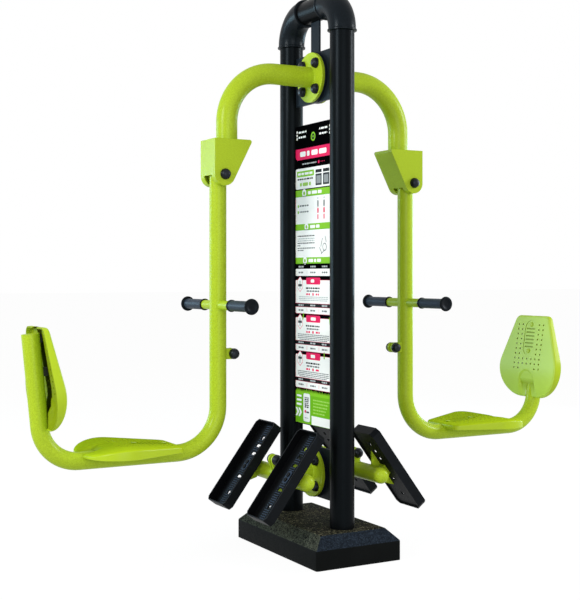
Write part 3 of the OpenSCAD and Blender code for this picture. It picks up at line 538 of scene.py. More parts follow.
ARM_Z = 1.755
FOOT_Z = 0.288
FLANGE_X = 0.027
BOLT_CIRCLE_R = 0.0675
PIVOT = (0.405, 1.375)
HOUSING_HALF = 0.060
LUG_HALF = 0.015
FOOT_LUG = (0.176, 0.344)
ARM_LUG = (0.349, 0.738)
SIDES = (("left", -1), ("right", 1))
Y_ENDS = ((-1, "-y"), (1, "+y"))
cap_grids = []
for sign, axis in ((-1, "-x"), (1, "+x")):
    for height in (ARM_Z, FOOT_Z):
        for y, z in BOLT_CIRCLE_R * on_circle(full_turn(4) + math.pi / 4):
            cap_grids.append(turn_to(cap_points, axis, (sign * FLANGE_X, y, height + z)))
    for end, across in Y_ENDS:
        for (x, z), half in ((FOOT_LUG, LUG_HALF), (PIVOT, HOUSING_HALF)):
            cap_grids.append(turn_to(cap_points, across, (sign * x, end * half, z)))
dress(joined("domed_caps", cap_grids), black_plastic, "frame", "black_cap", "bolt_caps")
for side, sign in SIDES:
    lug_caps = [turn_to(cap_points, axis, (sign * ARM_LUG[0], end * LUG_HALF, ARM_LUG[1]))
                for end, axis in Y_ENDS]
    dress(joined(side + "_domed_lug_caps", lug_caps), black_plastic, side + "_swing", "black_cap",
          side + "_lug_caps")


# The sign is a black steel board between the posts with a laminated sheet on the side that faces
# the viewer. Its print is built as thin raised films of plain colour: bars, cards and rows.
softened("sign_board", 0.0010, black_coat, "frame", "black_steel")
laminate = stained("black_laminate", (0.15, 4.0), linear(3, 3, 4), linear(7, 7, 9), (0.1, 0.40),
                   {"Specular IOR Level": 0.0}, ((0.02,), 0.0001))
softened("sign_sheet", 0.0006, laminate, "frame", "sign_print")

WHITE = linear(255, 253, 250)
MAGENTA = linear(236, 22, 92)
LIME = linear(134, 200, 32)
DARK_LIME = linear(112, 184, 16)
INK = linear(30, 30, 32)
GREY = linear(120, 122, 124)
PALE = linear(186, 190, 190)
BLACK = linear(8, 8, 9)
SHEET_X = -0.0090
SHEET_LEFT = 0.13935
PRINT_SHARE = 0.965
FILM = 0.00012
films = {"points": [], "faces": [], "colours": []}
random = np.random.default_rng(7)


def film(outline, colour, layer):
    """A thin closed film over an outline of (distance from the sheet's left edge, height) in mm,
    drawn for the whole sheet and narrowed to PRINT_SHARE of it, because the print leaves a black
    edge on the right. Its front is the outline and its sides go back to the layer under it."""
    outline = np.array(outline, float)
    count = len(outline)
    y = SHEET_LEFT - outline[:, 0] * PRINT_SHARE / 1000
    z = outline[:, 1] / 1000
    front = np.column_stack([np.full(count, SHEET_X - layer * FILM), y, z])
    back = front + (FILM * 0.9, 0, 0)
    base = sum(len(p) for p in films["points"])
    ring = np.arange(count)
    after_x, after_z = np.roll(outline, -1, axis=0).T
    area = np.sum(outline[:, 0] * after_z - after_x * outline[:, 1])
    ring = ring if area > 0 else ring[::-1]
    after = np.roll(ring, -1)
    films["faces"].append((base + ring).tolist())
    films["faces"].append((base + count + ring[::-1]).tolist())
    films["faces"] += (base + np.stack([ring, ring + count, after + count, after], -1)).tolist()
    films["points"] += [front, back]
    films["colours"].append(np.tile(colour, (2 * count, 1)))


def card(left, low, right, high, colour, layer, radius=0.01):
    """A film over a rectangle with round corners, in mm."""
    middle = ((left + right) / 2, (low + high) / 2)
    film(rounded_rectangle((right - left) / 2, (high - low) / 2, radius, 5) + middle, colour, layer)


def panel(low, high, colour, layer, radius=0.01, grow=0.0):
    """A card over the whole width of the print, grown by some mm on both sides."""
    card(3 - grow, low, 276 + grow, high, colour, layer, radius)


def dot(x, z, radius, colour, layer, sides=20, turn=0.0):
    """A film over a disc, or over a polygon with few sides, in mm."""
    film(radius * on_circle(full_turn(sides) + turn) + (x, z), colour, layer)


def strokes(left, right, z, height, colour, layer):
    """A row of short bars that stands for a line of words."""
    while left < right - height * 0.5:
        length = min(height * random.uniform(1.2, 3.6), right - left)
        card(left, z - height / 2, left + length, z + height / 2, colour, layer, height * 0.3)
        left += length + height * 0.55


# Head of the sheet: two rows of small print in each upper corner, a plain ring and the banner.
for left, right, column in ((26, 88, 14), (186, 250, 264)):
    strokes(left, right, 1562, 7, WHITE, 1)
    strokes(left, right - 6, 1543, 7, WHITE, 1)
    for height in (1565, 1552, 1539):
        dot(column, height, 5, WHITE, 1)
dot(139, 1538, 17, LIME, 1, 40)
dot(139, 1538, 11, BLACK, 2, 40)
dot(139, 1538, 5, LIME, 3, 6)
film([(3, 1499), (262, 1499), (272, 1494), (276, 1484), (276, 1457), (17, 1457), (7, 1462), (3, 1472)],
     MAGENTA, 1)
strokes(38, 112, 1478, 19, WHITE, 2)
strokes(126, 240, 1478, 19, WHITE, 2)
strokes(55, 165, 1440, 5, PALE, 1)
dot(182, 1440, 6, MAGENTA, 1)
for x in (200, 212, 224):
    dot(x, 1440, 3, MAGENTA, 1, 3, math.pi / 2)

# White card with a green badge on the left and two plain dark panels on the right.
panel(1346, 1424, WHITE, 1, 8)
card(14, 1392, 146, 1414, LIME, 2, 4)
strokes(22, 138, 1403, 9, WHITE, 3)
strokes(18, 138, 1383, 6, INK, 2)
strokes(36, 122, 1363, 13, linear(160, 208, 90), 2)
for left in (158, 214):
    card(left, 1400, left + 46, 1412, INK, 2, 2)
    card(left, 1353, left + 46, 1396, linear(52, 54, 56), 2, 2)
    card(left + 7, 1360, left + 39, 1389, linear(150, 153, 154), 3, 3)


def green_bar(low, high, badge, words):
    """A green bar over the print's width with a round white badge and a row of words."""
    panel(low, high, LIME, 1)
    panel(low, low + 3, DARK_LIME, 2)
    middle = (low + high) / 2
    dot(badge, middle, (high - low) * 0.62, WHITE, 2, 24)
    dot(badge, middle, (high - low) * 0.30, LIME, 3, 6)
    strokes(*words, middle, 12, WHITE, 2)


green_bar(1316, 1342, 70, (100, 214))
green_bar(1189, 1213, 88, (116, 188))
green_bar(1062, 1086, 76, (104, 198))

# White panel with two short lines, two slim upright marks, dark above and pink below, and three
# small pink marks on its left edge.
panel(1213, 1316, WHITE, 1)
for height in (1281, 1258):
    dot(24, height, 6, LIME, 2, 12)
    strokes(34, 104, height + 1, 6, GREY, 2)
for x in (176, 222):
    dot(x, 1305, 4, PALE, 2, 14)
    card(x - 5, 1272, x + 5, 1298, GREY, 2, 5)
    card(x - 5, 1249, x + 5, 1270, MAGENTA, 2, 5)
    card(x - 4, 1226, x + 4, 1246, MAGENTA, 2, 4)
for height in (1303, 1290, 1277):
    film([(0.5, height - 5), (3, height - 2), (3, height + 5), (0.5, height + 2)], MAGENTA, 1)

# White panel with rows of grey print and a sketch of bars and rings.
panel(1086, 1189, WHITE, 1)
for height, right, colour in ((1167, 152, INK), (1157, 150, PALE), (1149, 150, PALE), (1140, 154, INK),
                              (1131, 40, INK), (1121, 154, GREY), (1113, 66, GREY)):
    strokes(18, right, height, 4.5, colour, 2)
dot(226, 1123, 15, GREY, 2, 28)
dot(226, 1123, 11.5, WHITE, 3, 28)
for x, z, lean, length in ((212, 1104, 0.5, 30), (196, 1112, -0.9, 26), (204, 1140, 1.2, 34),
                           (234, 1152, 1.9, 24)):
    along = on_circle(lean) * length / 2
    across = on_circle(lean + math.pi / 2) * 1.6
    corners = np.array([-along - across, along - across, along + across, -along + across])
    film(corners + (x, z), GREY, 4)


def cells(z, colour, layer, marks=None):
    """Three short rows of print side by side. marks is the colour of thin marks between them, if any."""
    for middle in (46, 138, 226):
        strokes(middle - 20, middle + 20, z, 6, colour, layer)
    if marks:
        for divider in (92, 184):
            card(divider - 0.8, z - 7, divider + 0.8, z + 7, marks, layer)


cells(1051, PALE, 1)
panel(1016, 1043, WHITE, 1, 5)
cells(1029, GREY, 2, PALE)

# Three white cards in thin pink frames, each with a tab, a six-sided badge, print and a low row.
for number, top in enumerate((1000, 858, 718)):
    panel(top - 127, top + 1, MAGENTA, 1, 7, 1)
    panel(top - 126, top, WHITE, 2, 6, -0.2)
    panel(top - 102, top - 87, MAGENTA, 3, grow=1)
    panel(top - 101, top - 88, BLACK, 4, grow=1)
    cells(top - 94.5, PALE, 5)
    cells(top - 114, GREY, 3, MAGENTA)
    card(86, top - 16, 194, top + 10, MAGENTA, 3, 6)
    strokes(122, 160, top - 3, 12, WHITE, 4)
    badge = on_circle(full_turn(6) + math.pi / 6) * (0.78, 1)
    film(badge * 30 + (38, top - 15), MAGENTA, 3)
    film(badge * 27.5 + (38, top - 15), WHITE, 4)
    card(24, top - 24 + 3 * number, 52, top - 15 + 3 * number, INK, 5, 2)
    card(36, top - 33, 40, top - 2, GREY, 6, 1)
    strokes(84, 192, top - 30, 6, INK, 3)
    strokes(90, 186, top - 41, 6, GREY, 3)
    strokes(86, 116, top - 53, 7, MAGENTA, 3)
    dot(139, top - 53, 6, MAGENTA, 3, 12)
    strokes(160, 190, top - 53, 7, MAGENTA, 3)
    insets = (20, 20, 20, 34) if number else (28, 28, 34)
    for row, inset in enumerate(insets):
        strokes(inset, 279 - inset, top - 63 - 6.5 * row, 3.5, GREY if number else PALE, 3)
for x, z, lean in ((60, 862, 0.35), (268, 850, -0.6), (224, 722, -0.2)):
    tip = x + 14 * lean
    film([(x - 4, z - 12), (x + 4, z - 12), (tip + 5, z + 12), (tip, z + 14)], LIME, 7)

# Foot of the sheet: a green field with a ragged top edge like grass, white bars and arrows, a white
# tag with a column of print, and a white panel.
blade = np.arange(3, 276.1, 4.55)
ragged = 579 + np.where(np.arange(len(blade)) % 2, random.uniform(4, 13, len(blade)), -3)
film(np.vstack([[(3, 458), (276, 458)], np.column_stack([blade, ragged])[::-1]]), LIME, 1)
card(9, 462, 270, 566, DARK_LIME, 2, 3)
for low in (556, 540, 524):
    card(12, low, 50, low + 8, WHITE, 3, 2)
arrow = np.array([(3, 482), (16, 482), (30, 498), (16, 514), (3, 514), (16, 498)])
film(arrow, WHITE, 3)
film(arrow + (22, 0), WHITE, 3)
card(64, 466, 116, 572, WHITE, 3, 9)
for row in range(6):
    strokes(74, 106, 556 - 7 * row, 5, INK if row % 3 else GREY, 4)
dot(80, 504, 6, MAGENTA, 4)
card(88, 499, 108, 505, INK, 4, 1)
strokes(76, 104, 480, 4, PALE, 4)
card(128, 459, 273, 492, WHITE, 3, 2)
for row in range(5):
    strokes(140, 262 - 9 * row, 552 - 12 * row, 5, linear(170, 214, 96), 3)

print_mesh = bpy.data.meshes.new("sign_films")
print_mesh.from_pydata(np.vstack(films["points"]).tolist(), [], films["faces"])
dyes = print_mesh.attributes.new("print", "FLOAT_COLOR", "POINT")
dyes.data.foreach_set("color", np.vstack(films["colours"]).astype(np.float32).ravel())
printed = add_object("sign_films", print_mesh)
film_paint, wire = start_material("printed_film")
place = wire.place()
dye = wire.node("Attribute", {"attribute_name": "print"})
wear_and_sheen = place.noise(0.08, 3.0)
finish_paint(wire, (wear_and_sheen * 0.012).mix(dye, linear(225, 226, 222)),
             {"Roughness": wear_and_sheen * 0.1 + 0.3, "Specular IOR Level": 0.02}, [(place.noise(0.02), 0.0001)])
dress(printed, film_paint, "frame", "sign_print")


# The upper arms, seat arms, handlebars and foot frames are bent steel tube under a glossy lime
# powder coat. Rippled weld beads run around the joints between them.
for side in ("left", "right"):
    refinish([side + part for part in ("_upper_arm", "_seat_arm", "_pivot_sleeve", "_foot_frame",
                                       "_handlebar")], green_coat)
bronze = stained("bush_bronze", (0.01, 4.0), linear(186, 138, 72), linear(142, 98, 48), (0.25, 0.3),
                 {"Metallic": 1.0}, ((0.0006,), 0.00003))
refinish(["left_pivot_bushes", "right_pivot_bushes"], bronze)


BEAD_ON_FACE = 0.0032
BEAD_ON_TUBE = 0.0030
RIPPLE_PITCH = 0.0032


def bead(centre_line, outward, size):
    """A weld bead around a closed line: a small round section whose radius ripples as
    size (1 + 0.13 |sin(k s)|), with k set so that ripples are about RIPPLE_PITCH apart."""
    tangent = unit_rows(np.roll(centre_line, -1, 0) - np.roll(centre_line, 1, 0))
    length = np.linalg.norm(np.roll(centre_line, -1, 0) - centre_line, axis=1).sum()
    count = len(centre_line)
    ripples = np.arange(count) * math.pi * round(length / RIPPLE_PITCH) / count
    radius = size * (1 + 0.13 * np.abs(np.sin(ripples)))
    return around_path(centre_line, radius, outward, np.cross(tangent, outward), 8)


def weld_ring(radius, place, axis, host=0.0):
    """A bead where a tube along a row axis leaves a flat face, or, with host, a bigger round tube of
    that radius along Z. Its line is (h, radius cos t, radius sin t), where h is 0 on a face and
    sqrt(host^2 - (radius cos t)^2) on a tube. The first row comes again at the end, to close it."""
    circle = on_circle(full_turn(160))
    height = np.sqrt(np.maximum(host ** 2 - (radius * circle[:, 0]) ** 2, 0))
    lean, size = (0.4, BEAD_ON_TUBE) if host else (0.0, BEAD_ON_FACE)
    outward = unit_rows(np.column_stack([np.full(len(circle), lean), circle]))
    grid = bead(np.column_stack([height, radius * circle]), outward, size)
    return turn_to(np.concatenate([grid, grid[:1]]), axis, place)


SEAT_TUBE_R = 0.03015
ARM_WELD_R = 0.0385
FOOT_WELD_R = 0.0305
HOUSING_TOP = (0.370, PIVOT[1] + 0.126)
HANDLE_R = 0.01685
SLEEVE_R = 0.01915
HANDLE_Z = 0.912
for side, sign in SIDES:
    flange_axis = "+x" if sign > 0 else "-x"
    fixed = [weld_ring(ARM_WELD_R, (sign * FLANGE_X, 0, ARM_Z), flange_axis),
             weld_ring(FOOT_WELD_R, (sign * FLANGE_X, 0, FOOT_Z), flange_axis),
             weld_ring(ARM_WELD_R, (sign * HOUSING_TOP[0], 0, HOUSING_TOP[1]), "+z")]
    dress(joined(side + "_frame_welds", fixed, closed=False), green_coat, "frame", "green_steel")
    moving = [weld_ring(radius, (sign * PIVOT[0], 0, height), axis, SEAT_TUBE_R)
              for radius, height in ((HANDLE_R, HANDLE_Z), (SLEEVE_R, PIVOT[1]))
              for axis in ("+y", "-y")]
    dress(joined(side + "_arm_welds", moving, closed=False), green_coat, side + "_swing", "green_steel")


# Each hinge housing is folded from plate and welded, open below and on two sides where the seat
# arm passes. Rubber buffers inside end the swing.
rubber = stained("black_rubber", (0.006, 4.0, 0.7), linear(6, 6, 7), linear(14, 15, 17), (0.15, 0.42),
                 {"Specular IOR Level": 0.2, "Specular Tint": (0.6, 0.8, 1.0, 1)}, ((0.0008,), 0.00008))
for side in ("left", "right"):
    softened(side + "_hinge_housing", 0.0022, green_coat, "frame", "green_steel", segments=4)
    softened(side + "_stop_buffers", 0.0010, rubber, "frame", "buffer_rubber")


# Seat and backrest are the same moulded shell: a narrow straight end, a wide round end, a face
# with rounded edges, rows of drain holes, a grooved panel, and a trough that clears the tube.
SHELL_LENGTH = 0.340
SHELL_WALL = 0.005
SHELL_RIM = 0.015
NARROW_HALF = 0.106
NARROW_R = 0.030
WIDE_HALF = 0.1725
WIDE_R = 0.120
TUBE_CUT = 0.03035
SLOT_CUT = 0.03115
FACE_LOW = TUBE_CUT + SHELL_WALL
FACE_RISE = 0.0255
FACE_FALL = 0.034
FALL_START = 0.190
FACE_ROUND = 0.008
SPINE = (0.06, 0.255)
TROUGH_START = 0.230
TROUGH_HALF = 0.044
TROUGH_LINE = ((0.240, 0.264, 0.285, SHELL_LENGTH), (0.0460, 0.0425, TUBE_CUT, 0.024))
narrow_y = NARROW_HALF - NARROW_R
wide_y = WIDE_HALF - WIDE_R
wide_x = SHELL_LENGTH - WIDE_R
apart = (wide_y - narrow_y, wide_x - NARROW_R)
side_turn = math.degrees(math.atan2(*apart) + math.acos((NARROW_R - WIDE_R) / math.hypot(*apart)))
knots = np.array([  # x and y of the arc's middle, its heading in degrees and its radius
    (NARROW_R, 0, 180, NARROW_R), (NARROW_R, narrow_y, 180, NARROW_R),
    (NARROW_R, narrow_y, side_turn, NARROW_R), (wide_x, wide_y, side_turn, WIDE_R),
    (wide_x, wide_y, 0, WIDE_R), (wide_x, 0, 0, WIDE_R)])
knots = np.vstack([knots, (knots * (1, -1, -1, 1))[::-1][1:]])
corner = np.radians(knots[:, 2])
knot_points = knots[:, :2] + knots[:, 3:] * on_circle(corner)
arc_steps = np.abs(np.diff(corner)) * knots[1:, 3]
chord_steps = np.linalg.norm(np.diff(knot_points, axis=0), axis=1)
walk = np.concatenate([[0], np.cumsum(np.maximum(arc_steps, chord_steps))])
mark = np.linspace(0, walk[-1], 360, endpoint=False)
arc_x, arc_y, heading, arc_r = (np.interp(mark, walk, knots[:, i]) for i in range(4))
heading = np.radians(heading)


def face_height(x):
    """The crowned face: it rises evenly and falls again by a square law near the wide end,
    low + rise x / L - fall ((x - start) / (L - start))^2."""
    beyond = np.maximum(x - FALL_START, 0) / (SHELL_LENGTH - FALL_START)
    return FACE_LOW + FACE_RISE * x / SHELL_LENGTH - FACE_FALL * beyond ** 2


def shell_edge(inset):
    """The shell's outline moved inwards: arc middle + (radius - inset) (cos h, sin h)."""
    return np.column_stack([arc_x, arc_y]) + (arc_r - inset)[:, None] * on_circle(heading)


def smooth_step(value, low, high):
    """3t^2 - 2t^3 of the value between low and high."""
    t = np.clip((value - low) / (high - low), 0, 1)
    return t * t * (3 - 2 * t)


def trough_depth(x, y):
    """How far the trough lies under the face. Its floor follows TROUGH_LINE down to the tube. Its
    outline is a slot with a half-round start, and its side is a soft step that opens towards the
    wide end; the distance out of the slot is hypot(min(x - start - half, 0), y) - half."""
    floor_line = np.interp(x, *TROUGH_LINE)
    outside = np.hypot(np.minimum(x - TROUGH_START - TROUGH_HALF, 0), y) - TROUGH_HALF
    spread = 0.004 + 0.014 * smooth_step(x, 0.27, 0.33)
    side = 1 - smooth_step(outside, -spread, spread * 0.8)
    return np.maximum(face_height(x) - floor_line, 0) * side


def shell_grid():
    """The closed surface of a shell: from the middle of the face out to its round edge, down the
    side, around the rim, up inside and back to the middle under the face."""
    spine = at_height(np.clip(shell_edge(0)[:, :1], *SPINE), 0)
    rows = []
    inner = shell_edge(FACE_ROUND)
    for share in np.concatenate([np.linspace(0, 0.9, 70), np.linspace(0.9, 1, 10)[1:]]):
        flat = spine + share * (inner - spine)
        rows.append(at_height(flat, face_height(flat[:, 0]) - trough_depth(*flat.T)))
    for turn in np.linspace(0, math.pi / 2, 7)[1:]:
        flat = shell_edge(FACE_ROUND * (1 - math.sin(turn)))
        level = face_height(flat[:, 0]) - trough_depth(*flat.T) - FACE_ROUND * (1 - math.cos(turn))
        rows.append(at_height(flat, np.maximum(level, SHELL_RIM + 0.002)))
    for inset, lift in ((0, 0.001), (0.001, 0), (SHELL_WALL - 0.001, 0), (SHELL_WALL, 0.001)):
        rows.append(at_height(shell_edge(inset), SHELL_RIM + lift))
    under = shell_edge(SHELL_WALL + 0.003)
    for flat, low in ((shell_edge(SHELL_WALL), 0.003), *((spine + share * (under - spine), 0)
                                                        for share in np.linspace(1, 0, 44))):
        level = face_height(flat[:, 0]) - trough_depth(*flat.T) - SHELL_WALL - low
        rows.append(at_height(flat, np.maximum(level, SHELL_RIM + 0.0015)))
    return np.array(rows)


CUT_TOP = 0.08


def prism(outline, low):
    """Grid of an upright cutter over an outline, from a height or one for each point to CUT_TOP."""
    return np.stack([at_height(outline, low), at_height(outline, CUT_TOP)])


def stadium_line(start, end, half):
    """Points around a slot with round ends along X."""
    arc = half * on_circle(np.linspace(-math.pi / 2, math.pi / 2, 20))
    return np.vstack([arc + (end - half, 0), (start + half, 0) - arc])


def carve(piece, cutter):
    """Subtracts the cutter from the piece for good and deletes the cutter."""
    cut = piece.modifiers.new("cut", "BOOLEAN")
    cut.operation = "DIFFERENCE"
    cut.solver = "MANIFOLD"
    cut.object = cutter
    bpy.context.view_layer.update()
    mesh = bpy.data.meshes.new_from_object(piece.evaluated_get(bpy.context.evaluated_depsgraph_get()))
    piece.modifiers.clear()
    piece.data = mesh
    bpy.data.objects.remove(cutter)


PANEL = (0.020, 0.167, 0.0335)
PANEL_DEPTH = 0.0017
GROOVE_DEPTH = 0.0036
GROOVE_COUNT = 6
GROOVE_MARGIN = 0.036
GROOVE_HALF = (0.0030, 0.0255)
DRAIN_ROWS = 10
DRAIN_START = 0.039
DRAIN_PITCH = (0.0204, 0.025)
DRAIN_R = 0.0030
MOUTH_R = 0.0039
MOUTH_DEPTH = 0.0019


def drain_cutter(x, y):
    """Grid of a drain hole: a round hole that opens evenly from DRAIN_R to MOUTH_R over the last
    MOUTH_DEPTH under the face."""
    face = face_height(x)
    circle = on_circle(full_turn(16))
    rings = ((DRAIN_R, 0.016), (DRAIN_R, face - MOUTH_DEPTH), (MOUTH_R, face), (MOUTH_R, CUT_TOP))
    return np.stack([at_height(radius * circle + (x, y), level) for radius, level in rings])


shell = skin("shell", shell_grid(), closed=False)
work = bmesh.new()
work.from_mesh(shell.data)
bmesh.ops.remove_doubles(work, verts=work.verts, dist=1e-5)
bmesh.ops.dissolve_degenerate(work, edges=work.edges, dist=1e-6)
bmesh.ops.recalc_face_normals(work, faces=work.faces)
work.to_mesh(shell.data)
work.free()
tube_line = ((TUBE_CUT, -0.01), (TUBE_CUT, 0.285), (SLOT_CUT, 0.2851), (SLOT_CUT, 0.36))
carve(shell, skin("tube_cut", turned(tube_line, 64)))
holes = []
for row in range(DRAIN_ROWS):
    full = row in (DRAIN_ROWS - 3, DRAIN_ROWS - 2)
    for column in range(-3, 4):
        if full or abs(column) > 1:
            holes.append(drain_cutter(DRAIN_START + DRAIN_PITCH[0] * row, DRAIN_PITCH[1] * column))
panel_line = stadium_line(*PANEL)
holes.append(prism(panel_line, face_height(panel_line[:, 0]) - PANEL_DEPTH))
carve(shell, joined("shell_cuts", holes))
grooves = []
for x in np.linspace(PANEL[0] + GROOVE_MARGIN, PANEL[1] - GROOVE_MARGIN, GROOVE_COUNT):
    groove_line = rounded_rectangle(*GROOVE_HALF, 0.0029) + (x, 0)
    grooves.append(prism(groove_line, face_height(groove_line[:, 0]) - GROOVE_DEPTH))
carve(shell, joined("shell_grooves", grooves))


SEAT_PLACE = (0.575, 0.397)
BACK_FOOT = (0.920, 0.532)
BACK_SHIFT = (0.330, 0.135)
LEAN = math.radians(5.7)


def on_seat(points, sign):
    """Shell points to their place on the seat of one unit."""
    x, y, z = points.T
    return np.column_stack([sign * (SEAT_PLACE[0] + x), y, SEAT_PLACE[1] + z])


def on_back(points, sign):
    """Shell points to their place on the backrest: the shell's face looks at the user and its
    narrow end is up, in the frame of the tube that leans out by 5.7 degrees."""
    x, y, z = points.T
    up = BACK_SHIFT[0] - x
    out = BACK_SHIFT[1] - z
    return np.column_stack([sign * (BACK_FOOT[0] + out * math.cos(LEAN) + up * math.sin(LEAN)), -y,
                            BACK_FOOT[1] - out * math.sin(LEAN) + up * math.cos(LEAN)])


def placed_copy(source, name, place, sign):
    """A copy of a mesh with its points moved by a placing function, faces turned out if mirrored."""
    mesh = source.data.copy()
    flat = np.empty(len(mesh.vertices) * 3)
    mesh.vertices.foreach_get("co", flat)
    mesh.vertices.foreach_set("co", place(flat.reshape(-1, 3), sign).ravel())
    if sign < 0:
        mesh.flip_normals()
    return smooth_object(name, mesh, 35)


def face_table(piece):
    """The middles and the normals of a piece's faces, each as rows of x, y and z."""
    for kind in ("center", "normal"):
        flat = np.empty(len(piece.data.polygons) * 3)
        piece.data.polygons.foreach_get(kind, flat)
        yield flat.reshape(-1, 3).T


def store_values(piece, name, values):
    """Stores a number for each face of a piece, for its material."""
    layer = piece.data.attributes.new(name, "FLOAT", "FACE")
    layer.data.foreach_set("value", values.astype(np.float32))


def add_painted_shade(piece):
    """Two values for each face. The first is painted shade, how much darker the face is made where
    shade falls: 1 on the walls of the drain holes and grooves, 0.6 on the floors of the grooves, up
    to 0.55 in the trough, and in the hollow 0.6, rising to 1.6 behind the tube. Those walls stand
    upright, and the floors lie 2.5 mm or more under the face. The second is 1 on the face itself
    outside the trough: on the backrest the material paints it paler as a painted sheen, and on the
    seat use dulls its gloss."""
    (x, y, z), (*_, up) = face_table(piece)
    depth = face_height(x) - z
    cuts = (x > 0.018) & (x < 0.2275) & (np.abs(y) < 0.083 + 0.1 * x) & (depth < SHELL_WALL - 0.0003)
    painted_shade = np.where(np.abs(up) < 0.5, 1.0, np.where(depth > 0.0025, 0.6, 0.0)) * cuts
    sunk = smooth_step(trough_depth(x, y), 0.004, 0.018) * (up > -0.3)
    hollow = (depth > SHELL_WALL - 0.0001) & (up < -0.3) & (x < SHELL_LENGTH - SHELL_WALL)
    behind_tube = 1.6 - smooth_step(np.abs(y), 0.0190, 0.0285)
    store_values(piece, "painted_shade", np.maximum(painted_shade, np.maximum(0.55 * sunk, hollow * behind_tube)))
    store_values(piece, "wear_and_sheen", (up > 0.5) * (1 - sunk))


add_painted_shade(shell)
moulded, wire = start_material("moulded_lime")
place = wire.place()
flow = place.noise(0.16, 4.0, 0.55)
grain = place.noise(0.0016, 3.0, 0.7)
on_backrest = place.part(2).between(0.47, 0.50)
# Painted shade: the holes, grooves, trough and hollow are darkened where shade falls, less on the seat
# than on the backrest.
painted_shade = wire.attribute("painted_shade") * (on_backrest * 0.6 + 0.4)
lime = (flow * 0.75 + grain * 0.25).mix(linear(170, 196, 26), linear(189, 216, 38))
wear_and_sheen = wire.attribute("wear_and_sheen")
# Painted sheen: the backrest's face is made paler, for the light it reflects from the left.
lime = (wear_and_sheen * on_backrest * 0.8).mix(lime, linear(190, 223, 92))
# The painted shade darkens the lime towards dark olive, and past 1 nearly to black behind the tube.
lime = (painted_shade * 0.8).mix(lime, linear(74, 84, 8))
lime = (painted_shade - 1).mix(lime, linear(8, 10, 3))
finish_paint(wire, lime,
             {"Roughness": grain * 0.12 + 0.40, "Specular IOR Level": 0.0,
              "Coat Weight": (1 - wear_and_sheen * (1 - on_backrest)) * (1 - painted_shade).between(0.0, 1.0) * 0.55,
              "Coat Roughness": 0.36},
             [(grain, 0.00008), (place.noise(0.02, 3.0), 0.0003)])
for side, sign in SIDES:
    for part, place_on in (("seat", on_seat), ("backrest", on_back)):
        copy = placed_copy(shell, f"{side}_{part}_shell", place_on, sign)
        dress(copy, moulded, side + "_swing", "green_shell", f"{side}_{part}")
    softened(side + "_shell_screws", 0.0012, green_coat, side + "_swing", "green_steel")
bpy.data.objects.remove(shell)


# The handlebars carry black rubber grips with an inner collar, fine rings and a wide end disc.
GRIP_START = 0.107
GRIP_END = 0.266
ring_place = np.arange(GRIP_START + 0.012, GRIP_END - 0.012, 0.0011)
ring_depth = 0.0004 * (0.5 + 0.5 * np.cos(ring_place * 2 * math.pi / 0.0055)) ** 4
grip_profile = np.vstack([
    [(HANDLE_R + 0.0001, GRIP_START), (0.0195, GRIP_START), (0.0210, GRIP_START + 0.0006),
     (0.0215, GRIP_START + 0.0020), (0.0215, GRIP_START + 0.0062), (0.0208, GRIP_START + 0.0076),
     (0.0194, GRIP_START + 0.0086), (0.0190, GRIP_START + 0.0105)],
    np.column_stack([0.0190 - ring_depth, ring_place]),
    [(0.0191, GRIP_END - 0.0110), (0.0200, GRIP_END - 0.0088), (0.0245, GRIP_END - 0.0080),
     (0.0266, GRIP_END - 0.0072), (0.0275, GRIP_END - 0.0052), (0.0275, GRIP_END - 0.0028),
     (0.0268, GRIP_END - 0.0010), (0.0250, GRIP_END - 0.0001), (0.0170, GRIP_END),
     (0.0160, GRIP_END - 0.0008), (0.0060, GRIP_END - 0.0010)]])
grip_points = turned(grip_profile, 48)

grip_rubber, wire = start_material("grip_rubber")
place = wire.place()
beside = abs(place.part(1))
collar = (beside.between(GRIP_END - 0.0115, GRIP_END - 0.0095)
          + (1 - beside.between(GRIP_START + 0.0085, GRIP_START + 0.0100)))
handled = place.noise(0.010, 4.0, 0.7)
# Painted sheen: the sleeve between the collars is painted bluish grey, lighter than the black rubber of
# the collars, for the light it reflects.
sleeve_painted_sheen = handled.mix(linear(32, 41, 52), linear(48, 61, 76))
finish_paint(wire, collar.mix(sleeve_painted_sheen, linear(9, 10, 12)),
             {"Roughness": handled * 0.15 + 0.34, "Specular IOR Level": 0.12,
              "Specular Tint": (0.6, 0.8, 1.0, 1)}, [(place.noise(0.0008), 0.00008)])
for side, sign in SIDES:
    grips = [turn_to(grip_points, axis, (sign * PIVOT[0], 0, HANDLE_Z)) for axis in ("+y", "-y")]
    dress(joined(side + "_rubber_grips", grips), grip_rubber, side + "_swing",
          "grip_rubber", side + "_grips")


# Lugs with two ears stand on the seat arm and on the foot frame, for a damper between them.
for side in ("left", "right"):
    softened(side + "_arm_lug", 0.0012, green_coat, side + "_swing", "green_steel")
    softened(side + "_foot_lug", 0.0012, green_coat, "frame", "green_steel")


# The foot trays are moulded in coarse black plastic with holes, slots and a ribbed strip, and are
# screwed to green gussets and pads on the foot bar.
tray_plastic, wire = start_material("tray_plastic")
place = wire.place()
leather = wire.node("TexVoronoi", {}, {"Vector": place, "Scale": 480.0}, 0)
wear = place.noise(0.05, 5.0, 0.65)
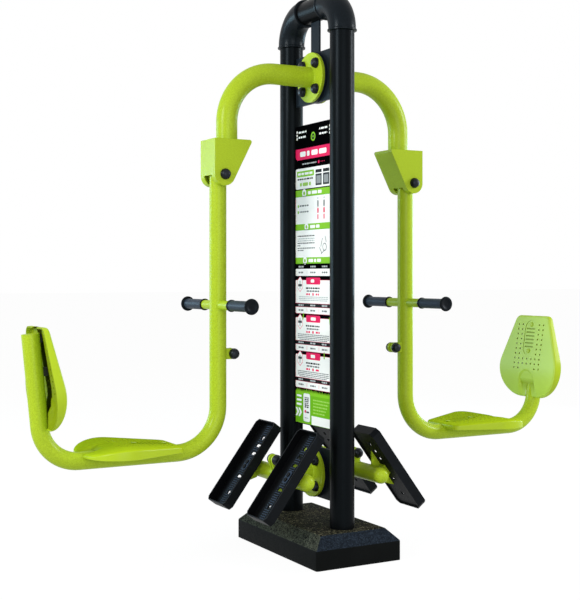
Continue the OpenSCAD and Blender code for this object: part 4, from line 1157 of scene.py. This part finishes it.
# Painted light: the recess is darkened as painted shade and the ribbed strip is lit bluish as a painted
# highlight.
tray_black_with_painted_light = (wire.attribute("shade") * 0.85 + wear * 0.15).ramp(
    (0.0, linear(7, 7, 8)), (0.5, linear(19, 20, 21)), (1.0, linear(54, 66, 84)))
finish_paint(wire, tray_black_with_painted_light,
             {"Roughness": wear * 0.2 + 0.38, "Specular IOR Level": 0.07,
              "Specular Tint": (0.6, 0.8, 1.0, 1)},
             [(leather, 0.0001), (place.noise(0.004), 0.0001)])
TRAY_SLOPE = math.radians(53.1)
FOOT_BAR = (0.157, FOOT_Z)
TRAY_Y = 0.160
TRAY_FLOOR = 0.052
TRAY_LIP = 0.080
RECESS_HALF = 0.0695
RECESS_ENDS = (-0.159, 0.196)


def add_shade(piece):
    """A value for each face of a tray by its height over the foot bar, h = dX sin a + dZ cos a, and
    by where it looks, for painted light: 1 on the tops of the ribs and the boss, which the material
    paints bluish as a painted highlight, 0 in the recess, which it darkens as painted shade, and 0.5
    outside."""
    (x, y, z), (nx, _, nz) = face_table(piece)
    out = np.abs(x) - FOOT_BAR[0]
    up = z - FOOT_BAR[1]
    height = out * math.sin(TRAY_SLOPE) + up * math.cos(TRAY_SLOPE)
    along = out * math.cos(TRAY_SLOPE) - up * math.sin(TRAY_SLOPE)
    looks_out = nx * np.sign(x) * math.sin(TRAY_SLOPE) + nz * math.cos(TRAY_SLOPE)
    recess = (height > TRAY_FLOOR - 0.001) & (height < TRAY_LIP - 0.001)
    recess &= (along > RECESS_ENDS[0]) & (along < RECESS_ENDS[1])
    recess &= np.abs(np.abs(y) - TRAY_Y) < RECESS_HALF
    strip = (height > TRAY_FLOOR + 0.002) & (height < TRAY_FLOOR + 0.005) & (looks_out > 0.7)
    store_values(piece, "shade", np.where(strip, 1.0, np.where(recess, 0.0, 0.5)))


for side in ("left", "right"):
    softened(side + "_tray_brackets", 0.0010, green_coat, "frame", "green_steel")
    for end in ("front", "rear"):
        add_shade(softened(f"{side}_tray_{end}", 0.0012, tray_plastic, "frame", "black_tray"))
softened("tray_screws", 0.0010, black_coat, "frame", "black_steel")
